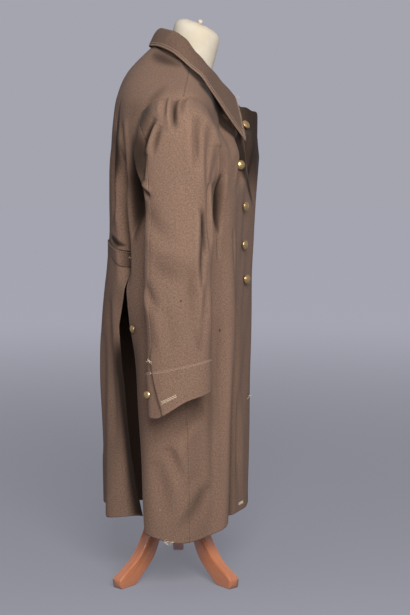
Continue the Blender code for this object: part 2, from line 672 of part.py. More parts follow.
def add_legs():
    """Pole, turned hub and three sabre legs sawn from a board."""
    top = 0.255
    hub = [
        (0.0, top), (0.72 * HUB_RADIUS, top), (HUB_RADIUS, top - 0.012), (HUB_RADIUS, 0.160),
        (0.80 * HUB_RADIUS, 0.146), (0.95 * HUB_RADIUS, 0.130), (0.55 * HUB_RADIUS, 0.112), (0.0, 0.108),
    ]
    add_turned("stand_hub", hub, "wood", Matrix.Identity(4), 24)
    height = FORM_BOTTOM - top - 2 * SEAM_GAP
    bpy.ops.mesh.primitive_cylinder_add(vertices=20, radius=POLE_RADIUS, depth=height,
                                        location=(0, 0, top + SEAM_GAP + height / 2))
    pole = bpy.context.object
    pole.name = "stand_pole"
    pole.data.materials.append(make_material("wood"))
    for collection in list(pole.users_collection):
        collection.objects.unlink(pole)
    bpy.data.collections["greatcoat"].objects.link(pole)
    for number, angle in enumerate(LEG_ANGLES, start=1):
        curve = bpy.data.curves.new(f"stand_leg_{number}", "CURVE")
        curve.dimensions = "2D"
        curve.fill_mode = "BOTH"
        curve.extrude = LEG_THICKNESS / 2
        spline = curve.splines.new("POLY")
        outline = leg_outline()
        spline.points.add(len(outline) - 1)
        for point, (reach, height) in zip(spline.points, outline):
            point.co = (reach, height, 0.0, 1.0)
        spline.use_cyclic_u = True
        leg = add_object(f"stand_leg_{number}", curve, "wood")
        weld = leg.modifiers.new("weld", "WELD")
        weld.merge_threshold = 1e-5
        bevel = leg.modifiers.new("rounded", "BEVEL")
        bevel.width = 0.0035
        bevel.segments = 2
        bevel.limit_method = "ANGLE"
        bevel.angle_limit = math.radians(60)
        upright = Matrix.Rotation(math.radians(90), 4, "X")
        leg.matrix_world = Matrix.Rotation(math.radians(angle + 90.0), 4, "Z") @ upright


def main():
    """Build the coat and the form it stands on."""
    clear_scene()
    bpy.context.scene.collection.children.link(bpy.data.collections.new("greatcoat"))
    add_body()
    add_sleeves()
    add_collar()
    add_wall("half_belt", belt_surface, np.linspace(0, 1, 23), np.linspace(0, 1, 4))
    add_buttons()
    add_torso()
    add_neck()
    add_legs()


main()
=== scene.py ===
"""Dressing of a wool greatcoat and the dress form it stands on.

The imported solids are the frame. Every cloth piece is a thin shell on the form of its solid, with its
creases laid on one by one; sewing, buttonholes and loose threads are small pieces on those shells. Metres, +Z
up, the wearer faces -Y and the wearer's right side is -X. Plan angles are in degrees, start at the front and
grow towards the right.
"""

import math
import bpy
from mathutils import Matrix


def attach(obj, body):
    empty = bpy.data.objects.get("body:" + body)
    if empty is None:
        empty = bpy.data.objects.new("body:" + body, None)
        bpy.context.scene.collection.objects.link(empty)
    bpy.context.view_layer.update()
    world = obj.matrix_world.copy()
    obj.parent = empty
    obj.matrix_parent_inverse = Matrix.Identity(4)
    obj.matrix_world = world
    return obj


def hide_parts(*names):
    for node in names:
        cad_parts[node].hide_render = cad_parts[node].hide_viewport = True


bl_info = {
    "name": "Greatcoat on a dress form",
    "version": (1, 0, 0),
    "blender": (4, 5, 0),
    "location": "View3D > Sidebar > Greatcoat",
    "description": "Cloth, sewing, buttons, form, stand and stage of a wool greatcoat",
    "category": "Object",
}

import bpy
import numpy as np
from bpy.props import FloatProperty, FloatVectorProperty, IntProperty, PointerProperty
from mathutils import Matrix, Vector

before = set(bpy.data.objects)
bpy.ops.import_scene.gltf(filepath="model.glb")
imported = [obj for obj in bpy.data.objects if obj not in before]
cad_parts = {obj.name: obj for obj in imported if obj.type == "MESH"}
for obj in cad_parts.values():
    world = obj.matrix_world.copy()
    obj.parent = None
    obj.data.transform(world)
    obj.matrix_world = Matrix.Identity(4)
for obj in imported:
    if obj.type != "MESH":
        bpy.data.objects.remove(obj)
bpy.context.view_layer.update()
BODY = "root"
UP = np.array([0.0, 0.0, 1.0])

# Driving dimensions
WALL = 0.0025            # heavy milled wool
COLLAR_WALL = 0.0030     # two layers, sewn together
CUFF_WALL = 0.0016       # applied cuff
SEAM_GAP = 0.0003        # between pieces that are sewn edge to edge
LAYER_GAP = 0.0006       # between pieces that lie on each other
FREE_ROUND = 0.42        # rounding of free and of sewn edges, share of the wall
SEWN_ROUND = 0.08
ROUND_REACH = 0.0012     # how far the rounding and the wear reach in from an edge
WORN_REACH = 0.004
SEAM_ANGLE = 0.03        # half a seam, in degrees of plan angle
THREAD_RADIUS = 0.0006   # loose thread ends
BUTTON_RADIUS = 0.0107   # front buttons, domed brass
SMALL_BUTTON = 0.75      # cuff buttons, share of a front button
HIP_SIZE = 0.82          # hip button, share of a front button
SHANK = 0.36             # length of a button's shank, share of its radius
DOME = 0.64              # height of a button's dome, share of its radius
BUTTON_STAND = 0.0022    # the right row's buttons stand off the cloth by this much more, and lean
BUTTON_LEAN = np.array([-0.42, 0.0, -0.06])
# Lean and shift of the left cuff's button, and the middle of its sleeve; the right side mirrors them
CUFF_LEAN = np.array([1.1, 0.0, 0.15])
CUFF_SHIFT = np.array([0.003, 0.0, -0.002])
SLEEVE_MIDDLE = np.array([0.265, -0.01, 0.0])
OVERLAP_ANGLE = -31.0    # free edge of the right front, past the middle of the front
UNDERLAP_ANGLE = 10.0    # hidden edge of the left front
FRONT_SPRING = 0.016     # how far the free edge's upper corner springs off the chest
FREE_ROW = 8.3           # section row from which the free edge stands upright
CHEST_TUCK = 0.75        # share of the overlap's fullness that the left front doesn't follow there
UNDER_LAYERS = 2.2       # layers by which the left front lies under the right one
UNDERLAP_SLOPE = 2.3     # rows by which the left front's upper edge slopes down to its hidden edge
TOP_DROP = 0.45          # rows of each of the two drops of the right front's upper edge
DROP_ROW = 7.0           # section row from which those upper edges drop
CREST_ANGLE = 52.0       # the hem rises at the long crest, beside the vent and at the vent's rolled edge
CREST_RISE = 0.010
BACK_RISE = 0.014
VENT_RISE = 0.024
NECK_TILT = math.radians(13.0)
NECK_RADIUS = 0.0525
NECK_HEIGHT = 0.105
NECK_MARGIN = 0.006      # the torso's top ring is wider than the neck by this much
NECK_BASE = Vector((0.0, -0.030, 1.158))
KNOB_RADIUS = 0.006
LEG_ANGLES = (50.0, 130.0, 270.0)
LEG_THICKNESS = 0.027
LEG_SQUARE = 0.22        # power that squares a leg's section; 1 is an oval
POLE_RADIUS = 0.014
HUB_RADIUS = 0.026
HUB_TOP = 0.255
CAP = 1e-3               # size of the small ring that closes an end, share of the end
FORM_BOTTOM = 0.660
FORM_BOTTOM_ROW = 3.5
FORM_TOP_ROW = 10.75
FORM_STEPS = 96

# Body sections from hem to neck. Depths are measured from the shifted middle.
# columns: level, half_width, front, back, shift, z_front, z_side, z_back, slack_side, slack_front
SECTIONS = np.array([
    (0.134, 0.220, 0.140, 0.166, 0.000, 0.142, 0.118, 0.142, 0.060, 0.050),
    (0.300, 0.215, 0.140, 0.170, 0.000, 0.300, 0.300, 0.300, 0.060, 0.050),
    (0.450, 0.209, 0.142, 0.171, 0.000, 0.450, 0.450, 0.450, 0.060, 0.050),
    (0.600, 0.203, 0.146, 0.168, 0.000, 0.600, 0.600, 0.600, 0.058, 0.052),
    (0.720, 0.200, 0.150, 0.158, 0.000, 0.720, 0.720, 0.720, 0.060, 0.056),
    (0.790, 0.201, 0.153, 0.153, 0.000, 0.790, 0.790, 0.790, 0.060, 0.056),
    (0.880, 0.207, 0.156, 0.151, 0.000, 0.880, 0.880, 0.880, 0.045, 0.036),
    (0.960, 0.214, 0.156, 0.149, 0.000, 0.950, 0.960, 0.960, 0.040, 0.030),
    (1.030, 0.224, 0.144, 0.154, -0.010, 1.000, 1.035, 1.040, 0.036, 0.026),
    (1.080, 0.232, 0.129, 0.154, -0.020, 1.030, 1.082, 1.098, 0.030, 0.020),
    (1.125, 0.165, 0.113, 0.136, -0.028, 1.054, 1.128, 1.155, 0.0006, 0.020),
    (1.172, 0.092, 0.097, 0.083, -0.033, 1.076, 1.172, 1.214, 0.0006, 0.020),
])
LEVEL, HALF_WIDTH, FRONT, BACK, SHIFT, Z_FRONT, Z_SIDE, Z_BACK, SLACK_SIDE, SLACK_FRONT = range(10)
ROW_CHEST = 8
ROW_TIP = 9.0
ROW_NECK = 11.0
AXIS_Y = -0.01           # plan angles of points are taken round an upright line here
FOLD_BASE = 0.13         # lowest level from which a fold's slant is measured

# Armhole: an oval in plan angle and section row
ARMHOLE_BOTTOM = 5.85
ARMHOLE_MIDDLE = (ARMHOLE_BOTTOM + ROW_TIP) / 2
ARMHOLE_HALF = (ROW_TIP - ARMHOLE_BOTTOM) / 2
ARMHOLE_HALF_ANGLE = 27.0
ARMHOLE_INSET = 1.004    # the sleeve's edge, as a share of the armhole, across and up
SHOULDER_INSET = 1.0015

# Hollows of the figure itself, which the form shares with the coat; columns as for the folds
HOLLOWS = (
    (54.0, 54.0, 42.0, -0.054, 0.97, 1.172, 0.09),    # between the shoulder and the collar's end
    (306.0, 306.0, 42.0, -0.054, 0.97, 1.172, 0.09),
)

# Largest folds of the body.
# columns: angle at the bottom, angle at the top, half width in degrees, depth, bottom, top, fade
FOLDS = (
    (-31.0, -31.0, 49.0, 0.040, -1.00, 1.10, 0.05),   # fullness under the overlap's free edge
    (56.0, 40.0, 13.0, 0.014, -1.00, 0.85, 0.25),     # long crest of the right front
    (33.0, 22.0, 16.0, -0.028, -1.00, 0.70, 0.30),    # hollow in front of the crest
    (23.0, 20.0, 13.0, -0.020, 0.88, 1.06, 0.05),     # valley beside the upper buttons
    (58.0, 58.0, 10.0, -0.018, 0.78, 0.93, 0.06),     # chest hollow in front of the sleeve
    (74.0, 76.0, 14.0, -0.008, -1.00, 0.60, 0.30),    # soft hollow of the right skirt
    (110.0, 112.0, 9.0, -0.022, 0.78, 0.97, 0.06),    # hollow between the back and the sleeve
    (128.0, 136.0, 9.5, -0.030, 0.66, 1.00, 0.08),    # deep fold above the vent
    (146.0, 152.0, 8.0, -0.018, 0.82, 1.02, 0.06),    # second fold of the back
    (122.0, 127.0, 20.0, -0.022, -1.00, 0.70, 0.20),  # right back turns in at the vent
    (196.0, 194.0, 13.0, -0.012, -1.00, 0.58, 0.20),  # hollow of the left back
    (215.0, 213.0, 22.0, 0.036, -1.00, 0.62, 0.25),   # rolled fold of the left back
    (246.0, 244.0, 14.0, -0.012, -1.00, 0.65, 0.25),  # hollows of the left skirt
    (268.0, 268.0, 12.0, 0.010, -1.00, 0.62, 0.25),
    (292.0, 290.0, 13.0, -0.012, -1.00, 0.68, 0.25),
    (226.0, 214.0, 9.0, -0.018, 0.72, 0.98, 0.08),    # folds of the left back above the belt
    (250.0, 248.0, 9.0, -0.022, 0.78, 0.97, 0.06),
    (302.0, 302.0, 10.0, -0.018, 0.78, 0.93, 0.06),
)

# Line where the two backs meet above the belt, and part below it to form the vent.
# columns: section row, angle of the right back's edge, angle of the left back's edge
BACK_LINE = np.array([
    (0.0, 109.4, 127.0),
    (1.0, 113.0, 137.0),
    (1.6, 115.6, 138.0),
    (2.2, 118.6, 138.0),
    (2.6, 121.8, 138.0),
    (2.9, 124.6, 137.6),
    (3.15, 125.4, 134.2),
    (3.4, 126.2, 130.6),
    (3.6, 127.0, 128.8),
    (3.8, 127.8, 128.2),
    (5.0, 128.2, 128.2),
    (6.0, 131.0, 131.0),
    (7.0, 137.0, 137.0),
    (8.0, 147.0, 147.0),
    (9.0, 160.0, 160.0),
    (10.0, 172.0, 172.0),
    (11.0, 180.0, 180.0),
])
VENT_CURL = 0.050        # how far the left back's vent edge rolls inwards at the hem
SIDES = (("right", 1.0), ("left", -1.0))

# Sleeve rings, each a slanted oval given by its outermost and innermost points.
# columns: outer_x, outer_z, inner_x, inner_z, middle_y, half_depth
SLEEVE_RINGS = np.array([
    (0.253, 1.064, 0.214, 0.861, -0.012, 0.093),
    (0.276, 1.024, 0.218, 0.853, -0.010, 0.087),
    (0.289, 0.957, 0.220, 0.834, -0.011, 0.077),
    (0.296, 0.860, 0.221, 0.788, -0.012, 0.072),
    (0.299, 0.700, 0.220, 0.680, -0.009, 0.071),
    (0.302, 0.560, 0.222, 0.555, -0.010, 0.068),
    (0.306, 0.442, 0.228, 0.442, -0.012, 0.065),
])
OUT_X, OUT_Z, IN_X, IN_Z, MID_Y, HALF_DEPTH = range(6)
SLEEVE_END = 7.0         # sleeve row of the lower edge
CUFF_SLANT = 0.020       # the cuff's front edge is higher than its back edge
CUFF_TOP = 6.30          # sleeve row where the cuff starts
CUFF_END = 6.99          # sleeve row where it ends
SLIT_ANGLE = -58.0       # cuff slit, on the outer face towards the back
SLIT_TOP = 6.05          # sleeve row where the slit starts
SLIT_SWING = 28.0        # the slit runs forwards by this turn on its way down
SLIT_LIFT = 0.005        # the slit's upper layer stands off the lower one
UNDERLAP_DROP = 0.003    # the slit's lower layer lies in by this much
CUFF_SAG = 0.20          # rows by which the cuff's back corner hangs lower
CORNER = 0.016           # drop of the front's rounded upper corner
NECK_CORNER = 0.015      # height of the corner that stands beside the collar's end
INNER_SEAM = 122.0       # hidden front seam of the sleeve
SLEEVE_SEAM = 0.05       # half a sleeve seam, the slit's lap and the cuff band's gap, in degrees of turn
SLIT_LAP = 5.0
BAND_GAP = 2.0
CUFF_OVER = LAYER_GAP + CUFF_WALL  # the cuff's outer face lies this much over the sleeve's

# Collar stations from the middle of the back to the front end, right side.
# columns: fold x, y, z, then outer edge x, y, z
COLLAR = np.array([
    (0.000, 0.034, 1.252, 0.000, 0.062, 1.211),
    (0.056, 0.006, 1.241, 0.068, 0.034, 1.203),
    (0.074, -0.021, 1.224, 0.102, 0.004, 1.186),
    (0.081, -0.048, 1.190, 0.127, -0.026, 1.159),
    (0.072, -0.079, 1.156, 0.148, -0.061, 1.129),
    (0.050, -0.108, 1.125, 0.118, -0.096, 1.077),
    (0.018, -0.136, 1.097, 0.054, -0.160, 0.994),
])
COLLAR_REACH = len(COLLAR) - 1.0
FOLD_SEAT = 0.06         # share of the fall's width at which it rests on the stand
FALL_ROLL = 0.010        # height of the fall's roll over the fold
NECK_MIDDLE = np.array([0.0, -0.035, 1.14])
STAND_INSET = 0.0034     # the stand is sewn to the inside of the neckline
STAND_DROP = 0.0060
COLLAR_END_ANGLE = 4.0   # plan angle of the collar's front end on the neckline
BELT_ENDS = (128.6, 231.0)
BELT_MIDDLE = 0.753
BELT_HALF = 0.017
BELT_BOW = 0.001         # the belt stands off the back between its ends
BELT_SAG = 0.016
BELT_DROOP = 0.010       # the loose end hangs lower
BELT_GAPE = 0.005        # the upper edge gapes beside the loose end
BELT_SLIP = 0.16         # share of the belt that slips into the fold


def smooth_curve(item, last, row):
    """Catmull-Rom curve through numbered items, 0 to last, read at fractional rows."""
    row = np.clip(np.asarray(row, float), 0.0, last)
    base = np.minimum(np.floor(row).astype(int), last - 1)
    t = (row - base)[..., None]
    before, start, end, after = (item(np.clip(base + k, 0, last)) for k in (-1, 0, 1, 2))
    return (start * (2 * t**3 - 3 * t**2 + 1) + (end - before) / 2 * (t**3 - 2 * t**2 + t)
            + end * (3 * t**2 - 2 * t**3) + (after - start) / 2 * (t**3 - t**2))


def smooth_rows(table, row):
    """Smooth curve through a table's rows."""
    return smooth_curve(table.__getitem__, len(table) - 1, row)


def ramp(value, start, width):
    """Smooth step from 0 at start to 1 at start plus width."""
    t = np.clip((value - start) / width, 0.0, 1.0)
    return t * t * (3 - 2 * t)


def bump(offset):
    """Rounded bump: 1 in the middle, 0 from one half width on."""
    return np.where(np.abs(offset) < 1, 0.5 + 0.5 * np.cos(np.pi * np.clip(offset, -1, 1)), 0.0)


def half_turn(angle):
    """An angle brought to the range from -180 to 180 degrees."""
    return (angle + 180.0) % 360.0 - 180.0


def fold_depth(folds, angle, level):
    """Sum of a table of folds at a plan angle and a level."""
    total = np.zeros(np.broadcast(angle, level).shape)
    for low_angle, high_angle, half, depth, bottom, top, fade in folds:
        base = max(bottom, FOLD_BASE)
        share = np.clip((level - base) / (top - base), 0.0, 1.0)
        middle = low_angle + (high_angle - low_angle) * share
        away = half_turn(angle - middle)
        window = ramp(level, bottom, fade) * (1 - ramp(level, top - fade, fade))
        total = total + depth * bump(away / half) * window
    return total


def body_point(angle, row, folded=True):
    """Outer face of the coat's body at a plan angle and a section row."""
    angle, row = np.broadcast_arrays(np.asarray(angle, float), np.asarray(row, float))
    s = smooth_rows(SECTIONS, row)
    sine = np.sin(np.radians(angle))
    cosine = np.cos(np.radians(angle))
    depth = np.where(cosine > 0, s[..., FRONT], s[..., BACK])
    z_end = np.where(cosine > 0, s[..., Z_FRONT], s[..., Z_BACK])
    radius = 1 / np.sqrt((sine / s[..., HALF_WIDTH]) ** 2 + (cosine / depth) ** 2)
    radius = radius + fold_depth(HOLLOWS, angle, s[..., LEVEL])
    if folded:
        radius = radius + fold_depth(FOLDS, angle, s[..., LEVEL])
    share = np.where(cosine > 0, sine**4, sine**2)
    z = z_end * (1 - share) + s[..., Z_SIDE] * share
    return np.stack([-radius * sine, s[..., SHIFT] - radius * cosine, z], -1)


def unit(vectors):
    """Vectors of length one."""
    return vectors / np.linalg.norm(vectors, axis=-1, keepdims=True)


def outwards(angle):
    """Level vectors that point away from the pole at plan angles."""
    turn = np.radians(angle)
    return np.stack([-np.sin(turn), -np.cos(turn), 0 * turn], -1)


def surface_normals(surface, across, along, step=1e-3):
    """Outward normals of a surface from its central differences."""
    d_across = surface(across + step, along) - surface(across - step, along)
    d_along = surface(across, along + step) - surface(across, along - step)
    return unit(np.cross(d_along, d_across))


def grid_faces(rows, columns, first=0):
    """Quads of a grid of points, row by row."""
    corner = (np.arange(rows - 1)[:, None] * columns + np.arange(columns - 1)[None, :]).ravel() + first
    return np.stack([corner, corner + columns, corner + columns + 1, corner + 1], -1)


def armhole_reach(row):
    """Half an armhole's width at a section row, in degrees of plan angle."""
    return np.sqrt(np.clip(1 - ((row - ARMHOLE_MIDDLE) / ARMHOLE_HALF) ** 2, 0.0, 1.0)) * ARMHOLE_HALF_ANGLE


def side_angle(row, towards_back):
    """Plan angle where the right front and back end: side seam, armhole, shoulder seam."""
    seam = 90.0 - 9.0 * (1 - ramp(row, 0.0, ARMHOLE_BOTTOM))
    side = 1.0 if towards_back else -1.0
    return seam + side * (armhole_reach(row) + SEAM_ANGLE)


def lowered(row, drop):
    """Rows of a front whose upper edge drops by some rows."""
    return row - drop * ramp(row, DROP_ROW, ROW_NECK - DROP_ROW)


def hem_rise(rise, row):
    """Upward shift of a hem, which fades out over the lowest section."""
    return UP * (rise * (1 - ramp(row, 0.0, 1.0)))[..., None]


def right_front(across, row):
    """Right front, from its free edge across the chest to the side seam and the armhole."""
    angle = OVERLAP_ANGLE + across * (side_angle(row, False) - OVERLAP_ANGLE)
    low = lowered(row, TOP_DROP * ramp(-angle, 7.0, 4.0) + TOP_DROP * ramp(-angle, 22.0, 9.0))
    spring = FRONT_SPRING * ramp(-angle, 6.0, 26.0) * ramp(low, 5.0, 2.5)
    point = body_point(angle, low)
    upright = body_point(angle, np.minimum(low, FREE_ROW))
    upright[..., 2] = point[..., 2]
    free = ramp(-angle, -2.0, 16.0)
    point = point + (upright - point) * free[..., None] + outwards(angle) * spring[..., None]
    round_corner = CORNER * ramp(-angle, 8.0, 16.0) ** 2
    neck_corner = NECK_CORNER * (1 - ramp(-angle, 1.5, 4.0)) * ramp(-angle, -22.0, 8.0)
    corner = (round_corner - neck_corner) * ramp(row, ROW_TIP, 2.0)
    return point - UP * corner[..., None] + hem_rise(CREST_RISE * bump((angle - CREST_ANGLE) / 24.0), row)


def left_front(across, row):
    """Left front, from the left side seam to its edge under the overlap."""
    seam = -side_angle(row, False)
    angle = seam + across * (UNDERLAP_ANGLE - seam)
    low = lowered(row, UNDERLAP_SLOPE * ramp(angle, -6.0, 12.0))
    fullness = fold_depth(FOLDS[:1], angle, smooth_rows(SECTIONS, low)[..., LEVEL])
    tuck = UNDER_LAYERS * (WALL + LAYER_GAP) * ramp(angle, -52.0, 17.0)
    tuck = tuck + CHEST_TUCK * fullness * ramp(row, 6.0, 1.8) * ramp(across, 0.0, 0.3)
    return body_point(angle, low) - outwards(angle) * tuck[..., None]


def right_back(across, row):
    """Right back, from the side seam to the middle seam and the vent's edge."""
    start = side_angle(row, True)
    end = np.interp(row, BACK_LINE[:, 0], BACK_LINE[:, 1]) - SEAM_ANGLE
    point = body_point(start + across * (end - start), row)
    return point + hem_rise(BACK_RISE * ramp(across, 0.0, 1.0), row)


def left_back(across, row):
    """Left back, from the vent's rolled edge round the back to the left side seam."""
    start = np.interp(row, BACK_LINE[:, 0], BACK_LINE[:, 2]) + SEAM_ANGLE
    end = 360.0 - side_angle(row, True)
    angle = start + across * (end - start)
    rolled = VENT_CURL * (1 - ramp(across, 0.0, 0.22)) * (1 - ramp(row, 0.0, 3.8))
    point = body_point(angle, row) - outwards(angle) * rolled[..., None]
    return point + hem_rise(VENT_RISE * (1 - ramp(across, 0.0, 0.24)), row)


def armhole_ring(turn, side):
    """Ring of a sleeve's edge, just under the armhole's; turn 0 is the shoulder, 90 the front."""
    angle = 90.0 - ARMHOLE_HALF_ANGLE * ARMHOLE_INSET * np.sin(np.radians(turn))
    row = ARMHOLE_MIDDLE + ARMHOLE_HALF * SHOULDER_INSET * np.cos(np.radians(turn))
    return body_point(side * angle, row)


def sleeve_surface(turn, row, side):
    """Sleeve: smooth tube through the armhole ring and the slanted ovals; side 1 is the right."""
    sine = np.sin(np.radians(turn))[..., None]
    cosine = np.cos(np.radians(turn))[..., None]
    rings = [armhole_ring(turn, side)]
    for ring in SLEEVE_RINGS:
        outer = np.array([-side * ring[OUT_X], ring[MID_Y], ring[OUT_Z]])
        inner = np.array([-side * ring[IN_X], ring[MID_Y], ring[IN_Z]])
        forward = np.array([0.0, -ring[HALF_DEPTH], 0.0])
        rings.append((outer + inner) / 2 + (outer - inner) / 2 * cosine + forward * sine)
    rings = np.stack(rings)
    last = len(rings) - 1

    def ring_at(number):
        return np.take_along_axis(rings, number[None, ..., None], 0)[0]

    past = row - np.clip(row, 0.0, last)
    slant = CUFF_SLANT * ramp(row, 5.0, 2.0)
    return smooth_curve(ring_at, last, row) - 0.1 * UP * past[..., None] + UP * slant[..., None] * sine


def slit_turn(row):
    """Turn of the cuff slit at a sleeve row."""
    return SLIT_ANGLE + SLIT_SWING * ramp(row, SLIT_TOP - 0.1, 1.1)


def slit_lift(turn, row):
    """How far the upper layer stands off beside the cuff slit, and the lower one lies in."""
    away = np.asarray(turn) - slit_turn(row)
    near = ramp(row, SLIT_TOP - 0.15, 0.25)
    upper = SLIT_LIFT * np.where(away >= 0, 1 - ramp(away, 0, 45), 0)
    return near * (upper - UNDERLAP_DROP * ramp(turn, 285.0, 22.0))


def lifted_sleeve(side):
    """Sleeve of one side: the slit's upper layer raised, the cuff's back corner hung lower."""
    def surface(across, row):
        turn = side * across
        back_corner = half_turn(turn + 50.0)
        hung = row + CUFF_SAG * ramp(row, CUFF_TOP, 0.7) * bump(back_corner / 75.0)
        point = sleeve_surface(turn, hung, side)
        front = sleeve_surface(turn * 0 + 90.0, hung, side)
        back = sleeve_surface(turn * 0 - 90.0, hung, side)
        return point + unit(point - (front + back) / 2) * slit_lift(turn, row)[..., None]
    return surface


def sleeve_piece(side, first, last):
    """Part of a creased sleeve between two turns, which are functions of the row, and its painted shading."""
    plain = lifted_sleeve(side)
    whole = creased(plain, sleeve_relief(side))

    def shade(across, row, point):
        return soft_shade(SLEEVE_SHADES, side * across, point[..., 2], SLEEVE_GIRTH)

    sunk = shading_of(plain, sleeve_relief(side, SLEEVE_CREASES), SLEEVE_DEEPEST, shade)

    def across(share, row):
        turned = share if side > 0 else 1.0 - share
        start = first(row)
        return side * (start + turned * (last(row) - start))

    def surface(share, row):
        return whole(across(share, row), row)

    def depth(share, row):
        return sunk(across(share, row), row)
    return surface, depth


def collar_line(station, first_column):
    """Point of the collar's fold or edge; station runs from the left end to the right end."""
    station = np.asarray(station, float)
    reach = np.abs(station)
    folded = np.concatenate([COLLAR[1:2] * [-1, 1, 1, -1, 1, 1], COLLAR])
    point = smooth_rows(folded, reach + 1)[..., first_column:first_column + 3]
    side = np.where(station >= 0, -1.0, 1.0)
    return point * np.stack([side, side * 0 + 1, side * 0 + 1], -1)


def neck_point(station):
    """Point of the neckline under a collar station."""
    angle = 180.0 - np.asarray(station, float) / COLLAR_REACH * (180.0 - COLLAR_END_ANGLE)
    return body_point(angle, np.full(np.shape(angle), ROW_NECK))


def collar_stand(across, rise):
    """Stand: from just above the neckline to just under the fold, right end to left end."""
    station = np.clip(-across, -COLLAR_REACH, COLLAR_REACH)
    neckline = neck_point(station)
    inward = unit(NECK_MIDDLE - neckline) * np.array([1.0, 1.0, 0.0])
    low = neckline + inward * STAND_INSET - UP * STAND_DROP
    under = surface_normals(collar_fall, station, 0 * station + FOLD_SEAT)
    high = collar_fall(station, 0 * station + FOLD_SEAT) - under * (COLLAR_WALL + LAYER_GAP)
    return low + (high - low) * np.asarray(rise)[..., None]


def collar_fall(station, width):
    """Fall: rolls over the fold and slopes down to its outer edge, which is slightly hollow."""
    width = np.asarray(width, float)
    fold = collar_line(station, 0)
    edge = collar_line(station, 3)
    roll = FALL_ROLL * np.sin(np.pi * np.clip(width, 0, 1)) * (1 - 0.4 * width)
    return fold + (edge - fold) * width[..., None] + UP * roll[..., None]


def belt_surface(across, rise):
    """Half-belt: follows the back without its folds, sags, and slips into the deep fold at its end."""
    start, end = BELT_ENDS
    angle = start + across * (end - start)
    arch = np.sin(np.pi * np.clip(across, 0, 1))
    loose = 1 - ramp(across, 0.0, 0.30)
    level = BELT_MIDDLE + (rise - 0.5) * 2 * BELT_HALF + BELT_SAG * (arch - 0.75) - BELT_DROOP * loose**2
    row = row_of_level(level)
    gape = BELT_GAPE * bump((across - BELT_SLIP) / BELT_SLIP) * rise
    stand_off = CUFF_WALL + LAYER_GAP + BELT_BOW * ramp(arch, 0.0, 0.5) + gape
    stand_off = stand_off * (0.45 + 0.55 * np.clip(rise, 0.0, 1.0))
    plain = body_point(angle, row, folded=False)
    slip = 1 - ramp(across, 0.0, BELT_SLIP)
    point = plain + (body_point(angle, row) - plain) * slip[..., None]
    return point + outwards(angle) * stand_off[..., None]


def row_of_level(level):
    """Section row at a level."""
    return np.interp(level, SECTIONS[:, LEVEL], np.arange(len(SECTIONS)))


def form_point(angle, row):
    """Dress form: the coat's plain surface moved in by the wall and the slack of each section."""
    angle, row = np.broadcast_arrays(np.asarray(angle, float), np.asarray(row, float))
    levels = np.arange(len(SECTIONS))
    side = np.interp(row, levels, SECTIONS[:, SLACK_SIDE])
    front = np.interp(row, levels, SECTIONS[:, SLACK_FRONT])
    sine = np.sin(np.radians(angle)) ** 2
    slack = side * sine + front * (1 - sine)

    def plain(a, r):
        return body_point(a, r, folded=False)

    normal = surface_normals(plain, angle, row)
    return plain(angle, row) - normal * (WALL + slack)[..., None]


def tilted_ring(angle, radius):
    """Ring round the neck's tilted axis at the neck's base."""
    tilt = Matrix.Rotation(NECK_TILT, 3, "X")
    return outwards(angle) * radius @ np.array(tilt).T + np.array(NECK_BASE)


BODY_GIRTH = 0.19        # mean radius, which turns angles into lengths across the cloth
SLEEVE_GIRTH = 0.062
# Relief as deep as this is painted in full shade, on the body and on a sleeve.
BODY_DEEPEST = 0.035     # depth of relief that counts as a full hollow
SLEEVE_DEEPEST = 0.014
